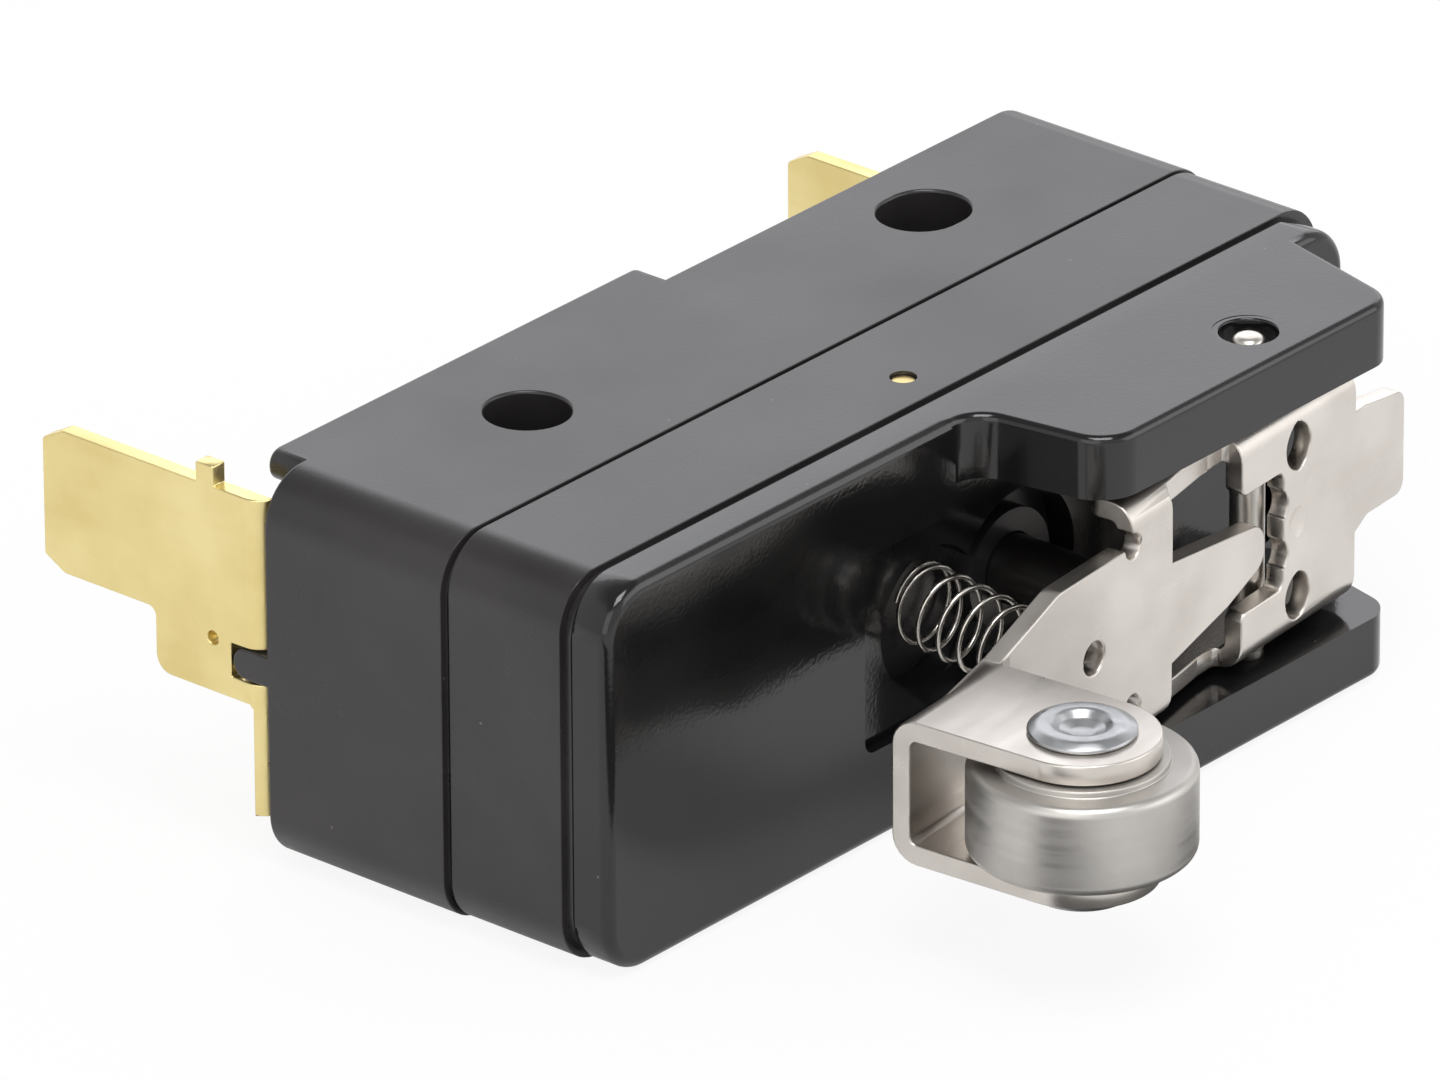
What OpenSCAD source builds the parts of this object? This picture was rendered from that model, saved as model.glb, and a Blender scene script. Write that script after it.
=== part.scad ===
// Snap-action switch with a sprung roller lever and three quick-connect tabs.
// Origin: axis of the round locating hole at the lower side face.
// +X along the case towards the hinge, +Y towards the tabs, +Z along the hole.

/* [Case] */
// Length of the case
case_l = 49.2; // [47:0.1:54]
// Thickness between the two side faces
case_t = 17.5; // [16.5:0.1:20]
// Corner radius of the case seen from the side
corner_r = 2.3; // [1:0.1:3]
// Hole axis to the back face of the base
base_back = 3.95; // [3:0.05:6]
// Depth of the base
base_depth = 9.65; // [8.5:0.05:11]
// Depth of the cover
cover_depth = 6.4; // [6:0.05:8]
// Step in from the base to the cover at each end
cover_inset = 0.22; // [0:0.02:0.6]
// Width of the seam groove between base and cover
seam_w = 0.26; // [0.2:0.02:0.6]
// Width of the seam groove in front of the cover
front_seam_w = 0.42; // [0.3:0.02:0.8]
// Depth of the seam grooves
seam_d = 0.3; // [0.1:0.05:0.6]
// Thickness of the end walls round the contact chamber
end_wall = 2.2; // [2:0.1:3]
// Wall between the mounting holes and the contact chamber
floor_t = 1.17; // [0.8:0.01:1.6]
// Front wall of the cover
cover_wall = 1.7; // [1.2:0.1:2]
// Width of the contact chamber across the case
chamber_w = 8.6; // [8:0.1:9]
// Corner radius of the contact chamber
chamber_r = 1; // [0.6:0.1:1.5]
// Height of the spigot lip that centres the cover on the base
lip_h = 0.9; // [0.5:0.1:1.5]
// Thickness of the spigot lip
lip_t = 0.7; // [0.5:0.1:1]

/* [Mounting holes] */
// Distance between the two mounting holes
hole_pitch = 25.4; // [24:0.1:27]
// Diameter of the locating hole and width of the adjusting slot
hole_d = 3.66; // [3.2:0.02:4]
// Extra length of the adjusting slot along the case
slot_extra = 0.56; // [0.2:0.02:1]

/* [Rear rim] */
// Length of the barrier rim on the base
rim_l = 23.4; // [20:0.1:28]
// Left end of the case to the start of the rim
rim_start = 2.2; // [1:0.1:3]
// Height of the rim above the back face
rim_h = 1.7; // [1:0.1:3]
// Thickness of the rim
rim_t = 1.4; // [1:0.1:2]
// Width of the key that locates the common tab
key_w = 1.4; // [1:0.1:1.6]
// Height of the key above the back face
key_h = 1.85; // [1.5:0.05:2.5]
// Length of the key along the case
key_l = 1.8; // [1.5:0.1:2]

/* [Lever housing] */
// Depth of the front block
housing_depth = 1.9; // [1.5:0.1:2.5]
// Step in from the cover to the block at the left end
housing_inset_left = 0.32; // [0.1:0.02:0.8]
// Step in from the cover to the block at the hinge end
housing_inset_right = 0.85; // [0.2:0.05:1.5]
// Step in from the cover to the block at the side faces
housing_inset_side = 0.05; // [0.02:0.01:0.4]
// Rounding of the block's front edges
front_r = 0.6; // [0.3:0.1:1.4]
// Rounding of the block's end corners seen from above
end_r = 0.45; // [0.2:0.05:1.2]
// Reach of the hinge ears beyond the block
ear_reach = 6.3; // [5.8:0.1:7]
// Hole axis to the near side of the ears at the block
ear_x = 11.8; // [11.2:0.1:12.4]
// Length of the ears at the block
ear_l = 21.3; // [20.5:0.1:21.6]
// Length taken off the ears' near side by its slant
ear_slant_near = 1.2; // [0.5:0.1:1.6]
// Length taken off the ears' far side by its slant
ear_slant = 1.5; // [0.5:0.1:2.5]
// Rounding of the ears' near corner
ear_r_near = 2; // [0.8:0.1:2.5]
// Rounding of the ears' far corner
ear_r_far = 1.6; // [1:0.1:2.5]
// Fillet between the block and the ears
ear_fillet = 1.5; // [0.8:0.1:2]
// Flat run of the ears' root before the fillet
ear_lead = 0.3; // [0.1:0.1:0.6]
// Clear distance between the ears
ear_gap = 11.6; // [11.4:0.1:12]
// Taper of each ear's outer face over its reach
ear_draft = 0.1; // [0.05:0.05:0.6]
// Depth of the shallow recess in the front face
recess_depth = 0.5; // [0.3:0.1:1.1]
// Width of the recess across the case
recess_w = 9; // [8.5:0.1:9.5]
// Hole axis to the near end of the recess
recess_x = 4.8; // [4:0.1:5.5]
// Rounding of the recess corners
recess_r = 0.6; // [0.3:0.1:1]
// Diameter of the spring pocket
spring_pocket_d = 6.2; // [5.8:0.1:7]
// Hole axis to the spring pocket's axis
spring_pocket_x = 9.5; // [9:0.1:10]
// Diameter of the plunger pocket
plunger_pocket_d = 7.4; // [7:0.1:8]
// Length of the tongues that enter the cover
tongue_l = 3.9; // [3.4:0.1:4.2]
// Width of the tongues along the case
tongue_w = 5.2; // [4:0.1:6]
// Thickness of the tongues
tongue_t = 2; // [1.8:0.1:2.2]
// Cover wall outside the tongues
tongue_cover = 1.5; // [1.2:0.1:1.6]

/* [Cover pins] */
// Diameter of the cross pins
cross_pin_d = 1.1; // [0.8:0.05:1.4]
// Hole axis to the cross pins along the case
cross_pin_x = 12.3; // [12:0.1:12.6]
// Cover front face to the cross pins
cross_pin_back = 2.3; // [1.8:0.1:2.6]
// Depth of the pin ends below the side faces
cross_pin_sink = 0.15; // [0.05:0.05:0.4]

/* [Hinge] */
// Hole axis to the hinge pin along the case
hinge_x = 25; // [24.5:0.1:25.5]
// Block front face to the hinge pin
hinge_reach = 3.8; // [3.6:0.1:4]
// Diameter of the hinge pin
hinge_pin_d = 1.5; // [1.2:0.05:1.6]
// Diameter of the sink round the pin ends
hinge_sink_d = 2.5; // [2:0.1:3]
// Depth of the sink
hinge_sink = 0.5; // [0.2:0.05:0.8]
// Depth of the pin's ends below the ears' faces
pin_sink = 0.15; // [0.1:0.05:0.4]
// Rounding of the pin's ends
pin_dome_r = 0.4; // [0.2:0.05:0.5]

/* [Lever] */
// Thickness of the lever sheet
sheet = 0.9; // [0.7:0.05:1]
// Tilt of the released lever away from the case
lever_tilt = 4.95; // [4:0.05:6]
// Hinge pin axis to the back of the lever plate
plate_gap = 0.95; // [0.9:0.05:1.1]
// Hinge pin axis to the roller axis along the plate
lever_reach = 23.95; // [22:0.05:26]
// Hinge pin axis to the roller axis square to the plate
roller_stand = 8.08; // [7.5:0.02:9]
// Width of the fork arms
fork_w = 6.5; // [6:0.1:7]
// Height over the fork arms
fork_h = 6.46; // [6.2:0.02:7]
// Fork centre below the case's mid-plane
fork_drop = 1; // [0:0.05:1.2]
// Rounding where the plate widens from the fork
neck_r = 0.8; // [0.4:0.1:1.2]
// Outer bend radius of the lever sheet
bend_r = 1.2; // [1:0.05:1.4]
// Hinge pin axis to the shoulder of the plate
shoulder_u = 16.5; // [15.5:0.1:17]
// Height of the plate behind the shoulder
shoulder_h = 7.3; // [6.8:0.1:7.8]
// Rounding of the plate's shoulders
shoulder_r = 1.5; // [0.8:0.1:2]
// Hinge pin axis to the near end of the flanges
flange_near = 11.1; // [10.5:0.1:11.5]
// Hinge pin axis to the far end of the flanges
flange_far = 5.4; // [5:0.1:6]
// Height over the hinge flanges
flange_h = 10.8; // [10.4:0.1:11]
// Hinge pin axis to the flanges' back edge
flange_back = 2.1; // [1.9:0.1:2.4]
// Flange depth behind the pin axis at the near end
flange_tip = 0.5; // [0.2:0.1:0.8]
// Rounding of the flanges' ends
flange_tip_r = 0.75; // [0.4:0.05:1]
// Rounding of the flanges' back corners
flange_back_r = 1.2; // [0.6:0.1:1.5]
// Radius of the round nick between the plate and a flange
nick = 0.5; // [0.3:0.05:0.8]
// Hinge pin axis to the near edge of the window
window_near = 8.2; // [7.8:0.1:8.6]
// Rounding of the window's corners
window_r = 0.4; // [0.2:0.05:0.6]
// Hinge pin axis to the lugs' ends
lug_u = 3.1; // [2.8:0.1:3.4]
// Height of the lugs below the flanges
lug_h = 2.7; // [2.3:0.05:2.9]
// Tongue width at its root
tongue_root = 4.7; // [4:0.1:5]
// Tongue root's centre below the mid-plane
tongue_drop = 0.6; // [0:0.1:0.8]
// Mid-plane to the tongue's lower edge at half its length
tongue_belly = 1.9; // [1.6:0.1:2.2]
// Hinge pin axis to the tongue's tip
tongue_tip = 1.4; // [1.2:0.1:2]
// Rounding of the tongue's tip
tongue_tip_r = 0.9; // [0.7:0.05:1.1]
// Hinge pin axis to the scallops beside the tongue's tip
scallop_u = 0.45; // [0.3:0.05:0.6]
// Mid-plane to the scallops
scallop_z = 1.15; // [1:0.05:1.3]
// Radius of the scallops
scallop_r = 0.8; // [0.6:0.05:0.9]
// Height of the relief holes beside the bends
relief_h = 2.2; // [1.6:0.1:2.4]
// Width of the relief holes
relief_w = 1.3; // [0.8:0.1:1.4]
// Hinge pin axis to the flange cut beside the window
relief_back = 0.5; // [0.3:0.05:0.7]
// Hinge pin axis to the relief holes
relief_u = 1.3; // [1.2:0.1:1.6]
// Mid-plane to the relief holes
relief_z = 3.45; // [3.2:0.05:3.7]
// Rounding of the cut beside the window
relief_r = 0.3; // [0.1:0.05:0.4]
// Diameter of the spring's locating hole
spring_hole_d = 1.5; // [1:0.1:1.8]
// Hinge pin axis to the locating hole
spring_hole_u = 13.95; // [13.4:0.05:14.4]
// Locating hole below the mid-plane
spring_hole_drop = 0.3; // [0:0.05:0.5]
// Hinge pin axis to the end of the tail
tail_l = 9.05; // [8:0.05:10]
// Height of the tail
tail_h = 4.7; // [4:0.1:5.2]
// Tail centre above the mid-plane
tail_lift = 0.6; // [0:0.1:0.8]
// Rounding of the tail's corners
tail_r = 0.6; // [0.3:0.1:1]
// Widening of the tail's upper edge at its root
tail_flare_up = 0.4; // [0.2:0.1:0.6]
// Widening of the tail's lower edge at its root
tail_flare_low = 1; // [0.6:0.1:1.2]
// Diameter of the dimple in the plate
dimple_d = 1.45; // [1:0.05:2]
// Depth of the dimple
dimple_depth = 0.28; // [0.1:0.02:0.4]
// Hinge pin axis to the dimple
dimple_u = 1.05; // [0.4:0.05:1.2]

/* [Roller] */
// Roller diameter
roller_d = 9.5; // [8.5:0.1:10.5]
// Diameter of the raised hub faces
hub_d = 7.2; // [6:0.1:8]
// Height of the hub faces above the roller's sides
hub_h = 0.28; // [0.1:0.02:0.4]
// Running gap between the hub and each fork arm
roller_gap = 0.08; // [0.05:0.01:0.15]
// Edge rounding of the roller
roller_edge = 0.4; // [0.2:0.05:0.6]
// Diameter of the rivet's shank
axle_d = 3; // [2.6:0.05:3.4]
// Diameter of the rivet's heads
axle_head_d = 4.7; // [4.2:0.1:5.2]
// Height of the rivet's heads
axle_head_h = 0.7; // [0.5:0.05:0.9]
// Rounding of the rivet's heads
axle_head_r = 0.45; // [0.2:0.05:0.48]
// Diameter of the hollow in the rivet's upper end
axle_hollow_d = 2.3; // [1.8:0.1:2.4]
// Diameter of the hollow's floor
axle_floor_d = 1.7; // [1:0.1:1.7]
// Rounding of the hollow's rim and floor
axle_hollow_r = 0.2; // [0.1:0.05:0.3]

/* [Return spring] */
// Hole axis to the spring's axis at the cover
spring_x = 10.35; // [10:0.05:10.7]
// Hole axis to the spring's axis at the lever
spring_end_x = 9.2; // [9:0.1:10]
// Mean coil diameter
coil_d = 3.4; // [2.8:0.05:3.8]
// Wire diameter
coil_wire = 0.24; // [0.2:0.01:0.32]
// Open turns
coil_turns = 5.6; // [4:0.1:7]
// Angle at which the wire starts round the spring
coil_start = 160; // [0:2:360]

/* [Plunger] */
// Hole axis to the plunger's axis along the case
plunger_x = 15.2; // [14.5:0.1:16]
// Diameter of the plunger's stem
plunger_d = 3; // [2.6:0.05:3.2]
// Rounding of the plunger's tip
plunger_tip_r = 0.7; // [0.3:0.1:1.2]
// Diameter of the plunger's inner collar
plunger_collar_d = 4.8; // [4.4:0.1:5.2]
// Thickness of the collar
plunger_collar_t = 0.9; // [0.6:0.05:1]
// Length of the plunger's inner nose
plunger_nose_l = 1.35; // [1.2:0.05:1.45]
// Diameter of the inner nose
plunger_nose_d = 2.4; // [2:0.1:2.6]
// Rounding of the inner nose
plunger_nose_r = 0.3; // [0.1:0.05:0.6]
// Diameter of the guide boss on the cover
guide_d = 5.2; // [5:0.1:5.4]
// Height of the guide boss
guide_h = 1; // [0.6:0.05:1.4]

/* [Tabs] */
// Thickness of the tabs
tab_t = 0.8; // [0.7:0.05:0.9]
// Width of the tabs
tab_w = 6.5; // [6.2:0.05:6.6]
// Hole axis to the ends of the tabs
tab_end = 16.1; // [14:0.1:18]
// Length of the tabs beyond their shoulders
tab_l = 6.1; // [5:0.1:7]
// Chamfer of the tab ends along the tab
tab_lead = 1.1; // [0.6:0.1:1.4]
// Chamfer of the tab ends across the tab
tab_lead_w = 0.6; // [0.3:0.05:0.9]
// Rounding of the tab ends
tab_tip_r = 0.2; // [0.1:0.05:0.3]
// Rounding between a tab and its shoulder
tab_root_r = 0.4; // [0.2:0.05:0.6]
// Width of the shoulders
shoulder_w = 9.35; // [8.5:0.05:9.6]
// Rounding of the shoulders' outer corners
tab_shoulder_r = 0.8; // [0.4:0.1:1.2]
// Shoulder edge to the case's side face
tab_edge = 1.15; // [1:0.05:1.3]
// Side face to the lower edge of the feet
foot_edge = 1.95; // [1.6:0.05:2.4]
// Width of the feet across the case
foot_w = 11.15; // [10.5:0.05:11.6]
// Rounding of the feet's corners
foot_r = 0.4; // [0.2:0.05:0.8]
// Foot length beyond the rivet head
foot_over = 0.6; // [0.3:0.05:0.8]
// Length of the feet along the case
foot_l = 7.7; // [7.2:0.1:8]
// Inner bend radius of the feet
foot_bend = 0.3; // [0.1:0.05:0.5]
// Diameter of the sight hole in the common tab
sight_d = 0.6; // [0.4:0.05:0.8]
// Back face to the sight hole
sight_y = 2.9; // [2.6:0.1:3.4]
// Sight hole above the mid-plane
sight_z = 0.7; // [0:0.1:1]
// Back face to the stop nib on the tab's edge
nib_y = 2.75; // [2.2:0.05:3.2]
// Length of the stop nib along the tab
nib_l = 0.95; // [0.6:0.05:1.4]
// Height of the stop nib
nib_h = 0.9; // [0.5:0.05:1]
// Hinge-end face to the outer face of the normally closed tab
closed_tab_inset = 0.9; // [0.6:0.1:1.4]
// Step from the normally closed tab to its shoulders
closed_step = 0.5; // [0.3:0.05:0.8]
// Foot length of the middle tab beyond its rivet
open_foot = 4.5; // [4:0.1:5]

/* [Tab rivets] */
// Diameter of the rivet shanks
rivet_d = 2.4; // [2:0.05:2.6]
// Diameter of the rivet heads
rivet_head_d = 4.2; // [3.8:0.1:4.4]
// Height of the rivet heads
rivet_head_h = 0.8; // [0.5:0.05:1]
// Rounding of the rivet heads
rivet_head_r = 0.45; // [0.2:0.05:0.48]
// Diameter of the clenched inner ends
clench_d = 3.4; // [3:0.1:3.5]
// Height of the clenched inner ends
clench_h = 0.6; // [0.4:0.05:0.8]
// Rounding of the clenched ends
clench_r = 0.3; // [0.1:0.05:0.38]
// Left end of the case to the common rivet
common_rivet_in = 5.1; // [4.9:0.1:5.4]
// Hinge-end face to the normally closed rivet
closed_rivet_in = 4.8; // [4.8:0.05:5]

/* [Contacts] */
// Thickness of the contact carriers
carrier_t = 0.7; // [0.5:0.05:0.8]
// Width of the contact carriers
carrier_w = 4; // [3.4:0.1:4.6]
// Carrier length beyond its rivet or contact
carrier_over = 0.3; // [0.1:0.05:0.4]
// Gap between the closed rivet's clenched end and the bracket's wall
bracket_gap = 0.1; // [0.05:0.01:0.15]
// Normally closed rivet to the contacts' axis
contact_in = 5.6; // [5.2:0.1:6]
// Diameter of the fixed contacts
fixed_d = 3; // [2.6:0.1:3.2]
// Thickness of the fixed contacts
fixed_t = 0.85; // [0.7:0.05:0.9]
// Diameter of the moving contact
moving_d = 2.8; // [2.4:0.1:3]
// Height of the moving contact on each side of the blade
moving_h = 0.7; // [0.6:0.05:0.8]
// Rounding of the contact faces
contact_r = 0.25; // [0.1:0.05:0.4]
// Contact clearance left at each end of the travel
contact_gap = 0.1; // [0.06:0.01:0.15]
// Contact travel
contact_travel = 0.95; // [0.8:0.05:1]
// Thickness of the snap blade
blade_t = 0.3; // [0.2:0.02:0.35]
// Width of the snap blade
blade_w = 6; // [5:0.1:6.4]
// Corner radius of the snap blade
blade_r = 1; // [0.4:0.1:1.5]
// Blade end beyond the contacts' axis
blade_over = 1.9; // [1.6:0.1:2.1]
// Common rivet to the blade's pivot line
pivot_in = 3.4; // [3.2:0.1:3.8]
// Blade end beyond the pivot line
pivot_over = 1.8; // [1.2:0.1:1.9]
// Gap between the blade and its shelf
shelf_gap = 0.15; // [0.1:0.01:0.25]
// Pivot line to the near end of the blade's window
bow_near = 5.6; // [5.2:0.1:6.2]
// Length of the blade's window
bow_l = 9.5; // [8:0.1:10]
// Width of the blade's bowed centre leg
bow_w = 2.2; // [1.8:0.1:2.4]
// Depth of the bow
bow_sag = 1; // [0.8:0.05:1.2]
// Gap round the bowed leg
bow_gap = 0.5; // [0.4:0.05:0.7]
// Free length of the window beyond the bowed leg's end
bow_free = 1; // [0.6:0.1:1.4]
// Corner radius of the blade's window
bow_r = 0.4; // [0.2:0.05:0.6]

/* [Clearances] */
// Radial clearance of a pin or shaft that turns
run_gap = 0.05; // [0.03:0.01:0.09]
// Radial clearance of a fixed pin, rivet or tongue
fit_gap = 0.03; // [0.02:0.01:0.08]
// Radial clearance of the plunger in its guide
slide_gap = 0.08; // [0.04:0.01:0.1]
// Gap between the lever and what it presses
press_gap = 0.15; // [0.1:0.01:0.3]

/* [Hidden] */
$fn = 72;
eps = 0.01;
mid_x = hole_pitch / 2;
mid_z = case_t / 2;
x_left = mid_x - case_l / 2;
x_right = mid_x + case_l / 2;
joint_y = base_back - base_depth;
cover_y = joint_y - cover_depth;
front_y = cover_y - housing_depth;
ear_y = front_y - ear_reach;
floor_y = -hole_d / 2 - floor_t;
roof_y = cover_y + cover_wall;
hinge_y = front_y - hinge_reach;
block_x0 = x_left + cover_inset + housing_inset_left;
block_x1 = x_right - cover_inset - housing_inset_right;
plate_front = plate_gap + sheet;
fork_u0 = -lever_reach - fork_w / 2;
fork_u1 = -lever_reach + fork_w / 2;
fork_z0 = mid_z - fork_drop - fork_h / 2;
fork_z1 = fork_z0 + fork_h;
flange_z0 = mid_z - flange_h / 2;
flange_z1 = mid_z + flange_h / 2;
plate_z0 = mid_z - shoulder_h / 2;
plate_z1 = mid_z + shoulder_h / 2;
common_rivet_x = x_left + common_rivet_in;
closed_rivet_x = x_right - closed_rivet_in;
open_rivet_x = mid_x;
contact_x = closed_rivet_x - contact_in;
pivot_x = common_rivet_x + pivot_in;
fixed_open_y = floor_y - carrier_t - fixed_t;
blade_back_y = fixed_open_y - contact_gap - contact_travel - moving_h;
blade_front_y = blade_back_y - blade_t;
fixed_closed_y = blade_front_y - moving_h - contact_gap;
bracket_y = fixed_closed_y - fixed_t;
dimple_ball = (dimple_d * dimple_d / 4 + dimple_depth * dimple_depth) / (2 * dimple_depth);
plunger_tip_y = plate_back_y(plunger_x) + press_gap;
plunger_collar_y = roof_y + slide_gap;
coil_from = [spring_x, cover_y - press_gap - coil_wire / 2, mid_z];
coil_to = [spring_end_x, plate_back_y(spring_end_x) + press_gap + coil_wire / 2, mid_z];
coil_l = norm(coil_to - coil_from);

black = [0.10, 0.10, 0.11];
nickel = [0.72, 0.70, 0.66];
steel = [0.66, 0.66, 0.66];
zinc = [0.74, 0.77, 0.82];
brass = [0.80, 0.68, 0.36];
copper = [0.72, 0.45, 0.28];
silver = [0.86, 0.86, 0.86];

// Back face of the released lever's plate at a place along the case
function plate_back_y(x) = hinge_y - plate_gap / cos(lever_tilt) - (hinge_x - x) * tan(lever_tilt);

// Extrusions of a flat shape along each axis, between two positions
module slab_x(x0, x1) {
  translate([x0, 0, 0]) rotate([90, 0, 90]) linear_extrude(x1 - x0) children();
}

module slab_y(y0, y1) {
  translate([0, y1, 0]) rotate([90, 0, 0]) linear_extrude(y1 - y0) children();
}

module slab_z(z0, z1) {
  translate([0, 0, z0]) linear_extrude(z1 - z0) children();
}

// Turned shape whose axis runs along Y, with the profile's height along -Y
module turned_y(x, y, z) {
  translate([x, y, z]) rotate([90, 0, 0]) rotate_extrude() children();
}

// Rounded corner of a polygon: half angle, tangent points, centre and turn
function unit(v) = v / norm(v);
function wrap(i, n) = (i + n) % n;
function to_prev(p, i) = unit(p[wrap(i - 1, len(p))] - p[i]);
function to_next(p, i) = unit(p[wrap(i + 1, len(p))] - p[i]);
function half_angle(p, i) = acos(to_prev(p, i) * to_next(p, i)) / 2;
function turn(p, i) = cross(-to_prev(p, i), to_next(p, i));
function run_out(p, r, i) = r[i] / tan(half_angle(p, i));
function arc_centre(p, r, i) =
  p[i] + unit(to_prev(p, i) + to_next(p, i)) * r[i] / sin(half_angle(p, i));
function trimmed(p, r) = [for (i = [0:len(p) - 1])
  each r[i] > 0
    ? [p[i] + to_prev(p, i) * run_out(p, r, i), p[i] + to_next(p, i) * run_out(p, r, i)]
    : [p[i]]];

// Cap of a rounded corner: the part of its circle beyond a line a little inside the two tangent points
module corner_cap(p, r, i) {
  c = arc_centre(p, r, i);
  out = unit(p[i] - c);
  along = [-out[1], out[0]];
  chord = r[i] * cos(90 - half_angle(p, i));
  inside = chord - min(r[i] - chord, 0.3 * r[i]);
  intersection() {
    translate(c) circle(r[i]);
    polygon([for (k = [[-2, 0], [2, 0], [2, 2], [-2, 2]])
      c + inside * out + r[i] * (k[0] * along + k[1] * out)]);
  }
}

// Polygon given counter-clockwise, each corner with its own true radius
module rounded_poly(p, r) {
  difference() {
    union() {
      polygon(trimmed(p, r));
      for (i = [0:len(p) - 1]) {
        if (r[i] > 0 && turn(p, i) > 0) corner_cap(p, r, i);
      }
    }
    for (i = [0:len(p) - 1]) {
      if (r[i] > 0 && turn(p, i) < 0) corner_cap(p, r, i);
    }
  }
}

module rounded_rect(x0, x1, y0, y1, r) {
  rounded_poly([[x0, y0], [x1, y0], [x1, y1], [x0, y1]], [r, r, r, r]);
}

// Lens between two arcs, used for relief holes
module lens(w, h) {
  r = (w * w + h * h) / (4 * w);
  intersection() {
    translate([r - w / 2, 0]) circle(r);
    translate([w / 2 - r, 0]) circle(r);
  }
}

// Outline of the case seen from the front, stepped in at ends and sides
module case_outline(end_step, side_step) {
  rounded_rect(x_left + end_step, x_right - end_step, side_step, case_t - side_step, corner_r);
}

module chamber_outline(grow) {
  rounded_rect(x_left + end_wall - grow, x_right - end_wall + grow,
               mid_z - chamber_w / 2 - grow, mid_z + chamber_w / 2 + grow, chamber_r + grow);
}

module base() {
  color(black) difference() {
    union() {
      slab_y(joint_y + seam_w / 2, base_back) case_outline(0, 0);
      slab_y(joint_y, base_back) case_outline(seam_d, seam_d);
      slab_y(joint_y - lip_h, joint_y) chamber_outline(lip_t);
      rear_rim();
      tab_key();
    }
    slab_y(joint_y - lip_h - eps, floor_y) chamber_outline(0);
    translate([0, 0, -eps]) cylinder(d = hole_d, h = case_t + 2 * eps);
    slab_z(-eps, case_t + eps) adjusting_slot();
    for (x = [common_rivet_x, open_rivet_x, closed_rivet_x]) {
      slab_y(floor_y - eps, base_back + eps) translate([x, mid_z]) circle(d = rivet_d + 2 * fit_gap);
    }
  }
}

module adjusting_slot() {
  for (s = [-1, 1]) translate([hole_pitch + s * slot_extra / 2, 0]) circle(d = hole_d);
  translate([hole_pitch - slot_extra / 2, -hole_d / 2]) square([slot_extra, hole_d]);
}

// Barrier rim along the upper edge of the back face, with round ends
module rear_rim() {
  r = rim_t / 2;
  slab_y(base_back - eps, base_back + rim_h)
    rounded_rect(x_left + rim_start, x_left + rim_start + rim_l, case_t - rim_t, case_t, r - eps);
}

// Key that stands in the notch of the common tab
module tab_key() {
  slab_x(x_left, x_left + key_l)
    rounded_poly([[base_back - eps, mid_z - key_w / 2], [base_back + key_h, mid_z - key_w / 2],
                  [base_back + key_h, mid_z + key_w / 2], [base_back - eps, mid_z + key_w / 2]],
                 [0, key_w / 2 - eps, key_w / 2 - eps, 0]);
}

module cover() {
  back = joint_y - seam_w / 2;
  color(black) difference() {
    union() {
      slab_y(cover_y + front_seam_w, back) case_outline(cover_inset, 0);
      slab_y(cover_y, joint_y) case_outline(cover_inset + seam_d, seam_d);
      turned_y(plunger_x, cover_y + eps, mid_z) square([guide_d / 2, guide_h + eps]);
    }
    slab_y(roof_y, joint_y + eps) chamber_outline(0);
    slab_y(joint_y - lip_h - slide_gap, joint_y + eps) chamber_outline(lip_t + slide_gap);
    turned_y(plunger_x, roof_y + eps, mid_z) square([plunger_d / 2 + slide_gap, cover_depth]);
    for (side = [0, 1]) mirrored_side(side) {
      slab_y(cover_y - eps, cover_y + tongue_l + slide_gap) tongue_outline(slide_gap);
      translate([cross_pin_x, cover_y + cross_pin_back, -eps])
        cylinder(d = cross_pin_d + 2 * fit_gap, h = tongue_cover + tongue_t + 2 * slide_gap);
    }
  }
}

// The lower half as drawn, or mirrored about the mid-plane for the upper half
module mirrored_side(side) {
  translate([0, 0, side * case_t]) mirror([0, 0, side]) children();
}

module tongue_outline(grow) {
  translate([cross_pin_x - tongue_w / 2 - grow, tongue_cover - grow])
    square([tongue_w + 2 * grow, tongue_t + 2 * grow]);
}

// Plan of the ears: fillet at the block, round near corner, slanted far side
module ear_plan() {
  x0 = ear_x;
  x1 = ear_x + ear_l;
  start = x0 - ear_fillet - ear_lead;
  rounded_poly([[start, cover_y], [start, front_y], [x0, front_y], [x0 + ear_slant_near, ear_y],
                [x1 - ear_slant, ear_y], [x1, front_y], [x1, cover_y]],
               [0, 0, ear_fillet, ear_r_near, ear_r_far, 0, 0]);
}

module lever_housing() {
  color(black) difference() {
    union() {
      housing_block();
      housing_ears();
      for (side = [0, 1]) mirrored_side(side) slab_y(cover_y - eps, cover_y + tongue_l) tongue_outline(0);
    }
    slab_y(front_y - eps, front_y + recess_depth)
      rounded_rect(recess_x, ear_x + ear_l - ear_slant,
                   mid_z - recess_w / 2, mid_z + recess_w / 2, recess_r);
    slab_y(front_y - eps, cover_y + eps) {
      translate([spring_pocket_x, mid_z]) circle(d = spring_pocket_d);
      translate([plunger_x, mid_z]) circle(d = plunger_pocket_d);
    }
    translate([hinge_x, hinge_y, -eps]) cylinder(d = hinge_pin_d + 2 * fit_gap, h = case_t + 2 * eps);
    for (side = [0, 1]) mirrored_side(side) {
      translate([hinge_x, hinge_y, -eps]) cylinder(d = hinge_sink_d, h = ear_face_z() + hinge_sink + eps);
      translate([cross_pin_x, cover_y + cross_pin_back, 0])
        cylinder(d = cross_pin_d + 2 * fit_gap, h = tongue_cover + tongue_t + eps);
    }
  }
}

// Height of the lower ear's outer face at the hinge axis
function ear_face_z() = housing_inset_side + ear_draft * (cover_y - hinge_y) / (cover_y - ear_y);

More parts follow.
